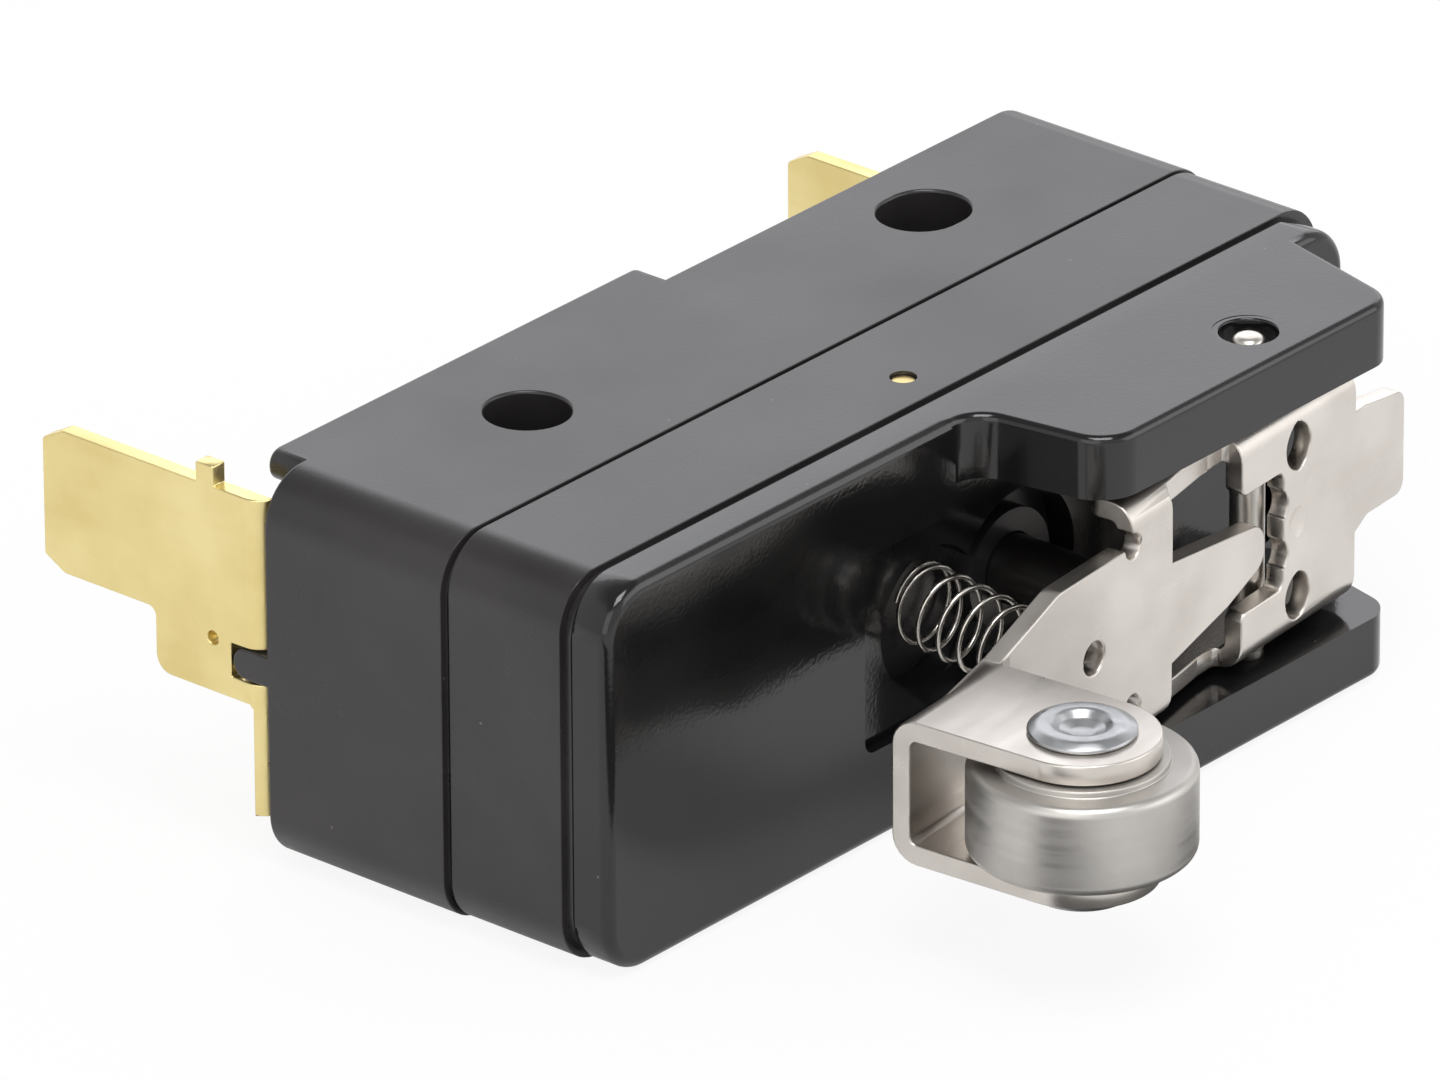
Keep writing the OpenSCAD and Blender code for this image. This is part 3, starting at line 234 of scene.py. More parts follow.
# %% Finishes of the case
FINISH = {
    "base_plastic": moulding("base_plastic", (0.0205, 0.0185, 0.0195), (0.0305, 0.0280, 0.0290),
                             rough=(0.24, 0.34)),
    "cover_plastic": moulding("cover_plastic", (0.0195, 0.0175, 0.0185), (0.0290, 0.0265, 0.0275),
                              rough=(0.23, 0.32)),
    "housing_plastic": moulding("housing_plastic", (0.005, 0.005, 0.0055), (0.009, 0.009, 0.0095),
                                rough=(0.08, 0.16), wave=0.14, specular=0.58),
    "plunger_plastic": moulding("plunger_plastic", (0.008, 0.007, 0.007), (0.013, 0.012, 0.011),
                                rough=(0.30, 0.40)),
}
print("mouldings:", list(FINISH))

# %% [markdown]
# Metals are told apart by hue, by how blurred they mirror the room, and by the direction of their
# marks: rolled sheet has long faint lines, a turned roller has rings, plating has none. The same
# stretched noise drives the roughness and a shallow bump, so the marks show in the gloss and not as
# painted lines.

# %% Metals
STAINS, PITS = 220.0, 2600.0


def metal(name, dark, light, rough, stretch=EVEN, grain=600.0, strength=0.06, turn=0.0):
    """Bare or plated metal: faintly stained, with marks along one direction and fine pits."""
    material, tree, shader = start_material(name, metallic=1.0)
    stains = noise(tree, STAINS, detail=5.0)
    link(tree, ramp(tree, stains, [(0.32, dark), (0.68, light)]), shader.inputs["Base Color"])
    lines = noise(tree, grain, stretch, 5.0, turn=turn)
    link(tree, span(tree, lines, *rough), shader.inputs["Roughness"])
    marks = bump(tree, lines, strength, distance=0.00005)
    pits = bump(tree, noise(tree, PITS, detail=2.0), strength, distance=0.00003, after=marks)
    link(tree, pits, shader.inputs["Normal"])
    return material


METALS = {
    "lever_nickel": dict(dark=(0.621, 0.579, 0.536), light=(0.743, 0.701, 0.654), rough=(0.24, 0.42),
                         stretch=(8.0, 1.0, 0.6), turn=TILT),
    "roller_steel": dict(dark=(0.50, 0.48, 0.455), light=(0.63, 0.61, 0.58), rough=(0.36, 0.52),
                         stretch=(12.0, 12.0, 0.35), grain=900.0),
    "rivet_zinc": dict(dark=(0.445, 0.457, 0.47), light=(0.555, 0.564, 0.575), rough=(0.26, 0.42),
                       grain=1400.0, strength=0.10),
    "hinge_steel": dict(dark=(0.56, 0.53, 0.49), light=(0.70, 0.67, 0.62), rough=(0.22, 0.38),
                        stretch=(1.0, 1.0, 4.0), grain=1200.0),
    "spring_wire": dict(dark=(0.50, 0.47, 0.43), light=(0.70, 0.67, 0.62), rough=(0.18, 0.32),
                        grain=1500.0),
    "tab_brass": dict(dark=(0.76, 0.62, 0.27), light=(0.88, 0.745, 0.37), rough=(0.26, 0.44),
                      stretch=(0.5, 9.0, 0.5), grain=900.0),
    "rivet_brass": dict(dark=(0.72, 0.57, 0.24), light=(0.84, 0.69, 0.33), rough=(0.22, 0.40),
                        grain=1300.0, strength=0.08),
    "carrier_copper": dict(dark=(0.62, 0.36, 0.20), light=(0.76, 0.47, 0.29), rough=(0.26, 0.42),
                           stretch=(6.0, 1.0, 0.6)),
    "contact_silver": dict(dark=(0.74, 0.73, 0.70), light=(0.86, 0.85, 0.83), rough=(0.20, 0.36),
                           grain=1800.0),
}
for name, finish in METALS.items():
    FINISH[name] = metal(name, **finish)
print("metals:", list(METALS))

# %% [markdown]
# Now the studio. Black shows hardly any colour of its own, only what it mirrors, so the room matters
# more than the lamps. Four large soft lamps at a plain level are enough: a wide one low behind the
# switch puts the sheen on its upper side, one hangs overhead, and two fill the end and the front. They
# could be small and strong, but then the rounded edges would break into hard glints.

# %% Lamps
AIM = Vector((0.012, -0.008, 0.008))


def lamp(name, place, width, height, power, colour=(1.0, 1.0, 1.0)):
    """A soft rectangular lamp, aimed at the switch and not seen by the camera."""
    light = bpy.data.lights.new(name, "AREA")
    light.shape = "RECTANGLE"
    light.size, light.size_y = width, height
    light.energy = power
    light.color = colour
    obj = bpy.data.objects.new(name, light)
    obj.location = place
    obj.rotation_euler = (AIM - Vector(place)).to_track_quat("-Z", "Y").to_euler()
    obj.visible_camera = False
    bpy.context.scene.collection.objects.link(obj)


lamp("bright_wall", (0.76, 0.64, 0.46), 1.3, 0.6, 2.8, (0.94, 0.945, 1.0))
lamp("overhead", (-0.20, -0.30, 1.10), 0.6, 0.6, 7.5)
lamp("left_fill", (-0.95, -0.35, 0.50), 0.9, 0.9, 2.4, (1.0, 0.98, 0.96))
lamp("front_fill", (0.55, -0.85, 0.45), 0.9, 0.7, 2.6)
print("lamps:", [light.name for light in bpy.data.lights])

# %% [markdown]
# The room lights the switch evenly, but what the camera and the reflections see of it is another
# matter: white near the horizon, so that the background is white and the upper side shines, and darker
# overhead, so that the rounded corners turn dark as they do on a real black moulding. A Light Path
# node keeps the two apart, and so no extra light falls on the switch.

# %% Room
ROOM_LEVEL, HORIZON, CEILING = 0.45, 1.0, 0.35


def combine(tree, kind, *inputs):
    """A math node whose inputs are sockets or plain numbers."""
    node = tree.nodes.new("ShaderNodeMath")
    node.operation = kind
    for socket, value in zip(node.inputs, inputs):
        if isinstance(value, (int, float)):
            socket.default_value = value
        else:
            link(tree, value, socket)
    return node.outputs["Value"]


def part_of(tree, output, axis):
    """One axis of a texture coordinate."""
    where = tree.nodes.new("ShaderNodeTexCoord")
    parts = tree.nodes.new("ShaderNodeSeparateXYZ")
    link(tree, where.outputs[output], parts.inputs["Vector"])
    return parts.outputs[axis]


def blend_of(tree, share, first, second):
    """The first shader, giving way to the second by a share."""
    node = tree.nodes.new("ShaderNodeMixShader")
    link(tree, share, node.inputs["Fac"])
    link(tree, first, node.inputs[1])
    link(tree, second, node.inputs[2])
    return node.outputs["Shader"]


world = bpy.data.worlds.new("studio")
bpy.context.scene.world = world
world.use_nodes = True
tree = world.node_tree
room = tree.nodes["Background"]
room.inputs["Color"].default_value = (1.0, 1.0, 1.0, 1.0)
room.inputs["Strength"].default_value = ROOM_LEVEL
seen = tree.nodes.new("ShaderNodeBackground")
up = part_of(tree, "Generated", "Z")
link(tree, span(tree, up, HORIZON, CEILING, start=0.62, end=0.80), seen.inputs["Strength"])
ray = tree.nodes.new("ShaderNodeLightPath").outputs
seen_ray = combine(tree, "MAXIMUM", ray["Is Camera Ray"], ray["Is Glossy Ray"])
link(tree, blend_of(tree, seen_ray, room.outputs["Background"], seen.outputs["Background"]),
     tree.nodes["World Output"].inputs["Surface"])
print("room at", ROOM_LEVEL, "and seen as", HORIZON, "at the horizon")

# %% [markdown]
# The floor is plain and pale. For the camera it glows almost to white and keeps a tenth of its own
# shading, which is where the soft shadow shows. Reflections see it less bright, and for them alone a
# painted dark reflection lies in front of the switch: a near-black strip that no lamp or object casts,
# painted into the floor for glossy rays only. It leaves the front of the housing pale below and black
# above. A modelled black card would do that too, but it would also take light from the switch.

# %% Floor
FLOOR_HALF, FLOOR_Z = 3.0, -0.00002
CAMERA_GLOW, GLOSSY_GLOW, DARK_REFLECTION_SHARE = 0.9, 0.3, 0.9
# The painted dark reflection on the floor, in metres: its back and front edges, each with a fade, and the fade
# at its right end.
DARK_REFLECTION_BACK, DARK_REFLECTION_FRONT, DARK_REFLECTION_RIGHT = (-0.0290, -0.0270), (-0.0430, -0.0400), (0.017, 0.031)
slab = bmesh.new()
bmesh.ops.create_grid(slab, x_segments=1, y_segments=1, size=FLOOR_HALF)
bmesh.ops.translate(slab, verts=slab.verts[:], vec=(0.0, 0.0, FLOOR_Z))
floor = bpy.data.objects.new("floor", bpy.data.meshes.new("floor"))
slab.to_mesh(floor.data)
slab.free()
bpy.context.scene.collection.objects.link(floor)

pale, tree, shader = start_material("pale_floor", specular=0.2)
shader.inputs["Base Color"].default_value = (0.86, 0.86, 0.86, 1.0)
shader.inputs["Roughness"].default_value = 0.9
glow = tree.nodes.new("ShaderNodeEmission")
# Painted dark reflection: a near-black shade that only glossy rays see, in the floor strip in front of the
# switch.
painted_dark_reflection = tree.nodes.new("ShaderNodeBsdfDiffuse")
painted_dark_reflection.inputs["Color"].default_value = (0.02, 0.02, 0.02, 1.0)
ray = tree.nodes.new("ShaderNodeLightPath").outputs
across, along = part_of(tree, "Object", "X"), part_of(tree, "Object", "Y")
strip = combine(tree, "MULTIPLY", span(tree, along, 1.0, 0.0, *DARK_REFLECTION_BACK),
                span(tree, along, 0.0, 1.0, *DARK_REFLECTION_FRONT))
strip = combine(tree, "MULTIPLY", strip, span(tree, across, 1.0, 0.0, *DARK_REFLECTION_RIGHT))
bright = combine(tree, "ADD", combine(tree, "MULTIPLY", ray["Is Camera Ray"], CAMERA_GLOW),
                 combine(tree, "MULTIPLY", ray["Is Glossy Ray"], GLOSSY_GLOW))
white = blend_of(tree, bright, shader.outputs["BSDF"], glow.outputs["Emission"])
dark = combine(tree, "MULTIPLY", combine(tree, "MULTIPLY", strip, ray["Is Glossy Ray"]), DARK_REFLECTION_SHARE)
link(tree, blend_of(tree, dark, white, painted_dark_reflection.outputs["BSDF"]), tree.nodes["Material Output"].inputs["Surface"])
floor.data.materials.append(pale)
bpy.context.scene.view_settings.view_transform = "Standard"
print("floor", [round(side, 1) for side in floor.dimensions], "m")

# %% [markdown]
# Nearly every piece of such a switch is stamped or moulded between two flat faces. So the first helpers
# draw a flat outline and push it to a thickness. The round corners could be worked out point by point,
# but a vertex bevel rounds a corner in one step and the radius can be set by itself.

# %% Flat shapes
ROUND = 12
AXES = {"X": Matrix(((0, 0, 1, 0), (1, 0, 0, 0), (0, 1, 0, 0), (0, 0, 0, 1))),
        "Y": Matrix(((1, 0, 0, 0), (0, 0, 1, 0), (0, 1, 0, 0), (0, 0, 0, 1))),
        "Z": Matrix.Identity(4)}


def rect(u0, u1, v0, v1):
    return [(u0, v0), (u1, v0), (u1, v1), (u0, v1)]


def outline(points, radii=0.0, steps=6):
    """One flat face through the points; a corner with a radius is rounded by a vertex bevel."""
    shape = bmesh.new()
    corners = [shape.verts.new((u, v, 0.0)) for u, v in points]
    shape.faces.new(corners)
    radii = radii if isinstance(radii, (list, tuple)) else [radii] * len(points)
    for i, r in enumerate(radii):
        if r > 0:
            here, before, after = (Vector(points[k % len(points)]) for k in (i, i - 1, i + 1))
            half = (before - here).angle(after - here) / 2
            bmesh.ops.bevel(shape, geom=[corners[i]], offset=r / math.tan(half), offset_type="OFFSET",
                            affect="VERTICES", segments=steps, profile=0.5, material=-1)
    return shape


def plate(points, radii, along, a, b, steps=6):
    """An outline pushed from a to b: drawn in (y, z) along X, in (x, z) along Y, in (x, y) along Z."""
    shape = outline(points, radii, steps)
    far = bmesh.ops.extrude_face_region(shape, geom=shape.faces[:])["geom"]
    moved = [v for v in far if isinstance(v, bmesh.types.BMVert)]
    bmesh.ops.translate(shape, verts=moved, vec=(0, 0, b - a))
    bmesh.ops.translate(shape, verts=shape.verts[:], vec=(0, 0, a))
    bmesh.ops.transform(shape, matrix=AXES[along], verts=shape.verts[:])
    bmesh.ops.recalc_face_normals(shape, faces=shape.faces[:])
    return shape


trial = plate(rect(0, 10, 0, 6), 1.0, "Z", 0, 2)
print("a trial plate has", len(trial.faces), "faces")
trial.free()

# %% [markdown]
# Pins, rivets, the roller and the plunger are turned. A rod is a cone with two equal radii. Everything
# else round is half of its section, spun about the axis as on a lathe. A Screw modifier could do that
# too, but the spin gives a finished mesh at once. The edge on the axis is taken out first, because it
# would spin into a needle inside the piece.

# %% Round shapes
def rod(diameter, place, along, a, b, sides=48):
    """A plain rod from a to b along an axis."""
    shape = bmesh.new()
    bmesh.ops.create_cone(shape, cap_ends=True, segments=sides, radius1=diameter / 2,
                          radius2=diameter / 2, depth=b - a)
    bmesh.ops.translate(shape, verts=shape.verts[:], vec=(*place, (a + b) / 2))
    bmesh.ops.transform(shape, matrix=AXES[along], verts=shape.verts[:])
    bmesh.ops.recalc_face_normals(shape, faces=shape.faces[:])
    return shape


def turned(points, radii, place, towards="Z", steps=64, corner=5):
    """A profile of (radius, height) spun about its axis; the height runs along Z, or towards -Y."""
    shape = outline(points, radii, corner)
    bmesh.ops.delete(shape, geom=shape.faces[:], context="FACES_ONLY")
    core = [e for e in shape.edges if all(abs(v.co.x) < 1e-6 for v in e.verts)]
    bmesh.ops.delete(shape, geom=core, context="EDGES")
    upright = Matrix.Rotation(math.pi / 2, 3, "X")
    bmesh.ops.rotate(shape, verts=shape.verts[:], cent=(0, 0, 0), matrix=upright)
    bmesh.ops.spin(shape, geom=shape.verts[:] + shape.edges[:], cent=(0, 0, 0), axis=(0, 0, 1),
                   angle=2 * math.pi, steps=steps, use_merge=True)
    bmesh.ops.remove_doubles(shape, verts=shape.verts[:], dist=1e-4)
    bmesh.ops.recalc_face_normals(shape, faces=shape.faces[:])
    if towards == "-Y":
        bmesh.ops.rotate(shape, verts=shape.verts[:], cent=(0, 0, 0), matrix=upright)
    bmesh.ops.translate(shape, verts=shape.verts[:], vec=place)
    return shape


trial = turned([(0, 0), (2, 0), (2, 3), (0, 3)], [0, 0.5, 0.5, 0], (0, 0, 0))
print("a trial pin is closed:", all(e.is_manifold for e in trial.edges))
trial.free()

# %% [markdown]
# A moulded edge is never sharp. A Bevel modifier could round all edges at the end, but where many cuts
# meet it runs into itself, so the big mouldings are rounded while they are still simple blocks, and
# each hole brings its own rounded rims: its tool flares out where it meets a face.

# %% Softened edges
RIM, LIP, NEAR = 0.15, 0.003, 0.01


def soften(shape, radius, segments=3, where=None):
    """Rounds the sharp edges of a shape, or only those whose ends pass a test of their place."""
    sharp = [e for e in shape.edges if len(e.link_faces) == 2 and e.calc_face_angle() > math.radians(30)
             and (where is None or all(where(v.co) for v in e.verts))]
    bmesh.ops.bevel(shape, geom=sharp, offset=radius, offset_type="OFFSET", affect="EDGES",
                    segments=segments, profile=0.5, material=-1, clamp_overlap=True)
    return shape


def bore(diameter, place, a, b, rim=RIM, blind=False):
    """A tool for a hole along Z between two faces, flared at both, or at the first if it is blind."""
    r, wide = diameter / 2, diameter / 2 + 3 * rim
    points = [(0, a - 1), (wide, a - 1), (wide, a - LIP), (r, a - LIP)]
    radii = [0, 0, 0, rim]
    far = [(r, b), (0, b)] if blind else [(r, b + LIP), (wide, b + LIP), (wide, b + 1), (0, b + 1)]
    radii += [0, 0] if blind else [rim, 0, 0, 0]
    return turned(points + far, radii, (*place, 0), steps=48)


def other_side(shape):
    """The same shape mirrored to the upper half of the case."""
    twin = shape.copy()
    bmesh.ops.scale(twin, vec=(1, 1, -1), verts=twin.verts[:])
    bmesh.ops.translate(twin, verts=twin.verts[:], vec=(0, 0, CASE_T))
    bmesh.ops.recalc_face_normals(twin, faces=twin.faces[:])
    return twin


def both_sides(make, *sizes):
    """A shape of the lower half and its twin in the upper half."""
    return [make(*sizes), other_side(make(*sizes))]


print("hole rims are rounded by", RIM, "mm")

# %% [markdown]
# Simple shapes become a piece by joining, cutting and trimming. Faces could be knifed and bridged by
# hand, but Boolean modifiers say plainly what is meant: this block, with these added, less those. They
# are applied at once by reading back the evaluated mesh. The solver wants faces that should lie in one
# plane to do so exactly, so all places are first rounded to a ten-thousandth of a millimetre.

# %% Joining helpers
def snap(corners):
    """Rounds places to a ten-thousandth, so that faces meant to lie in one plane do so exactly."""
    for corner in corners:
        corner.co = [round(c, 4) for c in corner.co]


def as_object(shape, name):
    if isinstance(shape, bpy.types.Object):
        return shape
    snap(shape.verts)
    mesh = bpy.data.meshes.new(name)
    shape.to_mesh(mesh)
    shape.free()
    piece = bpy.data.objects.new(name, mesh)
    bpy.context.scene.collection.objects.link(piece)
    return piece


def build(name, body, joins=(), cuts=(), keeps=()):
    """Joins shapes to a body, cuts shapes out of it, and keeps only what lies inside the last ones."""
    piece = as_object(body, name)
    tools = []
    for operation, shapes in (("UNION", joins), ("DIFFERENCE", cuts), ("INTERSECT", keeps)):
        for shape in shapes:
            tool = as_object(shape, "tool")
            step = piece.modifiers.new("tool", "BOOLEAN")
            step.operation, step.object, step.solver = operation, tool, "MANIFOLD"
            tools.append(tool)
    bpy.context.view_layer.update()
    result = bpy.data.meshes.new_from_object(piece.evaluated_get(bpy.context.evaluated_depsgraph_get()))
    piece.modifiers.clear()
    snap(result.vertices)
    piece.data = result
    for tool in tools:
        bpy.data.objects.remove(tool)
    return piece


print("pieces are joined with the manifold solver")

# %% [markdown]
# Dressing is the same for every piece: clean the mesh, scale it to metres, shade it smooth, give it its
# finish, and set it in the place of its solid. Stamped sheet gets a Bevel modifier as well, for the
# small round that a press leaves on every edge. Smooth shading alone would make large flat faces look
# swollen, so a Weighted Normal modifier lets the large faces decide and the roundings follow.

# %% Dressing helper
def dress(piece, node, body, slot, edge=0.0, segments=3, angle=40.0):
    """Scales a piece to metres, softens its edges, and sets it in place of its solid."""
    piece = as_object(piece, node)
    shape = bmesh.new()
    shape.from_mesh(piece.data)
    bmesh.ops.remove_doubles(shape, verts=shape.verts[:], dist=2e-4)
    bmesh.ops.dissolve_limit(shape, angle_limit=math.radians(0.2), verts=shape.verts[:],
                             edges=shape.edges[:])
    bmesh.ops.scale(shape, vec=(MM, MM, MM), verts=shape.verts[:])
    shape.to_mesh(piece.data)
    shape.free()
    piece.name = piece.data.name = node + "_piece"
    for face in piece.data.polygons:
        face.use_smooth = True
    if edge:
        soft = piece.modifiers.new("soft_edges", "BEVEL")
        soft.width, soft.segments, soft.limit_method = edge * MM, segments, "ANGLE"
        soft.angle_limit = math.radians(angle)
        soft.use_clamp_overlap = soft.loop_slide = False
    else:
        piece.data.set_sharp_from_angle(angle=math.radians(angle))
    flat = piece.modifiers.new("flat_faces", "WEIGHTED_NORMAL")
    flat.keep_sharp = True
    piece.data.materials.clear()
    piece.data.materials.append(FINISH[slot])
    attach(piece, body)
    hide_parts(node)
    low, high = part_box(node)
    mine = [piece.matrix_world @ Vector(c) for c in piece.bound_box]
    off = max(max(abs(min(c[k] for c in mine) - low[k]), abs(max(c[k] for c in mine) - high[k]))
              for k in range(3))
    print(f"{node}: {len(piece.data.polygons)} faces, box off by {off / MM:.2f} mm")
    return piece


# %% [markdown]
# The case is hollow, and two screw holes run right across it: a round one that locates the switch, and
# one drawn out into a short slot, so that the switch can be set before it is screwed tight. The slot
# could be one outline pushed through, but then its rims would stay sharp. It is cut by two bores with
# rounded rims and a straight piece with the same rims between them.

# %% Chamber and mounting holes
WALL, CHAMBER_HALF, CHAMBER_R = 2.2, 4.3, 1.0
HOLE_D, PITCH, SLIDE = 3.66, 25.4, 0.28


def chamber(grow, a, b):
    """The hollow inside the case as a block from a to b, grown all round."""
    return plate(rect(LEFT + WALL - grow, RIGHT - WALL + grow, MID_Z - CHAMBER_HALF - grow,
                      MID_Z + CHAMBER_HALF + grow), CHAMBER_R + grow, "Y", a, b)


def adjusting_slot():
    """Tools for the slot: the straight middle, drawn across, and a bore for each round end."""
    r = HOLE_D / 2
    side = [(r + 1, -1), (r + 1, -LIP), (r, -LIP), (r, CASE_T + LIP), (r + 1, CASE_T + LIP), (r + 1, CASE_T + 1)]
    straight = plate(side + [(-y, z) for y, z in reversed(side)], [0, 0, RIM, RIM, 0, 0] * 2, "X",
                     PITCH - SLIDE, PITCH + SLIDE)
    return [straight] + [bore(HOLE_D, (PITCH + s * SLIDE, 0), 0, CASE_T) for s in (-1, 1)]


print(f"hole {HOLE_D} mm, slot {HOLE_D} x {HOLE_D + 2 * SLIDE:.2f} mm, {PITCH} mm apart")

# %% [markdown]
# The base is the deep half of the case: a block with round corners, hollow towards the cover, with a
# barrier rim along the back that keeps the tabs' wires apart, and a small key that stops the end tab
# from turning. The groove round the case could be a bump in the finish, but it catches the light, so it
# is real: the block stops short of the joint and a slightly smaller foot reaches it. A spigot round the
# chamber centres the cover.

# %% Base
SEAM, STEP_IN, LIP_R, BACK_R = 0.10, 0.3, 0.07, 0.16
CHAMBER_FLOOR, SPIGOT, SPIGOT_L = -3.0, 0.7, 0.9
RIM_X, RIM_W, RIM_OUT = (LEFT + 2.2, LEFT + 25.6), 1.4, 1.7
KEY_HALF, KEY_L, KEY_OUT, BOSS_R = 0.7, 1.8, 1.85, 0.65
SUNK = 0.4
RIVET_X = {"common": -6.8, "normally_open": 12.7, "normally_closed": 32.5}
RIVET_HOLE = 2.46

base_block = plate(rect(LEFT, RIGHT, 0, CASE_T), CORNER, "Y", JOINT_Y + SEAM, BACK_Y, steps=ROUND)
soften(base_block, BACK_R, 3, lambda p: p.y > BACK_Y - NEAR)
soften(base_block, LIP_R, 2, lambda p: p.y < JOINT_Y + SEAM + NEAR)
foot = plate(rect(LEFT + STEP_IN, RIGHT - STEP_IN, STEP_IN, CASE_T - STEP_IN), CORNER, "Y",
             JOINT_Y, JOINT_Y + 0.5, steps=ROUND)
barrier = plate(rect(*RIM_X, CASE_T - RIM_W, CASE_T), BOSS_R, "Y", BACK_Y - SUNK, BACK_Y + RIM_OUT)
key = plate(rect(BACK_Y - SUNK, BACK_Y + KEY_OUT, MID_Z - KEY_HALF, MID_Z + KEY_HALF),
            [0, BOSS_R, BOSS_R, 0], "X", LEFT, LEFT + KEY_L)
base = build(
    "base", base_block,
    joins=[foot, chamber(SPIGOT, JOINT_Y - SPIGOT_L, JOINT_Y + 0.2), soften(barrier, 0.2), soften(key, 0.15)],
    cuts=[chamber(0, JOINT_Y - 1.5, CHAMBER_FLOOR), bore(HOLE_D, (0, 0), 0, CASE_T)] + adjusting_slot()
    + [rod(RIVET_HOLE, (x, MID_Z), "Y", -4, BACK_Y + 1) for x in RIVET_X.values()])
dress(base, "base", "case", "base_plastic")

# %% [markdown]
# The cover closes the base. Its front edge is stepped in as well, for the wider groove before the lever
# housing. A short sleeve on it guides the plunger, and two sockets hold the tongues of the housing,
# with a pin across each. Tongue, socket and pin hole are each one small shape that is used twice:
# once for the piece that fits in, and once, a little larger, for the piece that takes it.

# %% Cover
GROOVE, SHORTER = 0.34, 0.22
ROOF_Y, PLUNGER_X, SLEEVE_D, SLEEVE_OUT, GUIDE_D = -10.4, 15.2, 5.2, 1.0, 3.16
TONGUE_X, TONGUE_Z, TONGUE_L, PLAY = (9.7, 14.9), (1.5, 3.5), 3.9, 0.08
PIN_AT, PIN_HOLE, PIN_DEPTH = (12.3, COVER_Y + 2.3), 1.16, 3.66


def tongue(grow, a, b):
    return plate(rect(TONGUE_X[0] - grow, TONGUE_X[1] + grow, TONGUE_Z[0] - grow, TONGUE_Z[1] + grow),
                 0, "Y", a, b)


def pin_hole():
    return rod(PIN_HOLE, PIN_AT, "Z", -1, PIN_DEPTH, sides=32)


cover_block = plate(rect(LEFT + SHORTER, RIGHT - SHORTER, 0, CASE_T), CORNER, "Y", COVER_Y + GROOVE,
                    JOINT_Y - SEAM, steps=ROUND)
step = SHORTER + STEP_IN
neck = plate(rect(LEFT + step, RIGHT - step, STEP_IN, CASE_T - STEP_IN), CORNER, "Y", COVER_Y, JOINT_Y,
             steps=ROUND)
cover = build(
    "cover", soften(cover_block, LIP_R, 2),
    joins=[neck, rod(SLEEVE_D, (PLUNGER_X, MID_Z), "Y", COVER_Y - SLEEVE_OUT, COVER_Y + 0.5)],
    cuts=[chamber(0, ROOF_Y, JOINT_Y + 1),
          chamber(SPIGOT + PLAY, JOINT_Y - SPIGOT_L - PLAY, JOINT_Y + 1),
          rod(GUIDE_D, (PLUNGER_X, MID_Z), "Y", COVER_Y - 2, ROOF_Y + 0.9)]
    + both_sides(tongue, PLAY, COVER_Y - 1, COVER_Y + TONGUE_L + PLAY) + both_sides(pin_hole))
dress(cover, "cover", "case", "cover_plastic")

# %% [markdown]
# The lever housing is the glossiest moulding and carries the lever between two ears. The ears could be
# two blocks, but they are one outline seen from the side of the case, pushed through its whole
# thickness and split by the gap for the lever, so they match. On the left they rise from a short ramp.
# In front of the block they are drawn in a little towards their tips, as a moulding must be to leave
# its tool. A bisect puts an edge where that begins, so that the faces behind it stay flat.

# %% Hinge ears
HOUSING_Z = (0.05, CASE_T - 0.05)
FRONT_R, EAR_R, DRAFT, GAP_HALF = 0.5, 0.35, 0.1, 5.8
START_Y = FRONT_Y + FRONT_R

ear_plan = [(8.6, COVER_Y - 0.3), (8.6, START_Y), (10.5, FRONT_Y), (11.8, FRONT_Y), (13.0, EAR_Y),
            (31.6, EAR_Y), (33.1, FRONT_Y), (33.1, COVER_Y - 0.3)]
ears = plate(ear_plan, [0, 0, 0, 1.48, 2.0, 1.6, 0, 0], "Z", *HOUSING_Z, steps=ROUND)
soften(ears, EAR_R, 4, lambda p: p.y < FRONT_Y + 0.02 or p.x < 10.6 and p.y < START_Y + 0.02)
bmesh.ops.bisect_plane(ears, geom=ears.verts[:] + ears.edges[:] + ears.faces[:],
                       plane_co=(0, START_Y, 0), plane_no=(0, 1, 0))
for v in ears.verts:
    lean = DRAFT * max(0.0, (START_Y - v.co.y) / (START_Y - EAR_Y))
    v.co.z += lean if v.co.z < MID_Z else -lean
gap = plate(rect(5.0, 40.0, EAR_Y - 1, FRONT_Y), 0, "Z", MID_Z - GAP_HALF, MID_Z + GAP_HALF)
ears = build("ears", ears, cuts=[gap])
print("ears:", len(ears.data.polygons), "faces")

# %% [markdown]
# The housing itself is a shallow block whose front edges are rounded over. Behind the lever it is
# sunk by half a millimetre, with a pocket for the return spring and one for the plunger. The hinge pin
# passes through both ears, and a blind sink at each end keeps its head below the surface. Pockets and
# holes could be drawn into the outline, but cut as rods they stay truly round.

# %% Lever housing
HOUSING_X = (-11.36, 36.23)
RECESS_X, RECESS_HALF, RECESS_D, RECESS_R = (4.8, 31.6), 4.5, 0.5, 0.6
HINGE_HOLE, SINK_D, SINK_Z, SINK_RIM = 1.56, 2.5, (0.12, 0.62), 0.1
SPRING_POCKET, PLUNGER_POCKET = (6.2, 9.5), (7.4, PLUNGER_X)


def hinge_sink():
    return bore(SINK_D, HINGE[:2], *SINK_Z, SINK_RIM, blind=True)


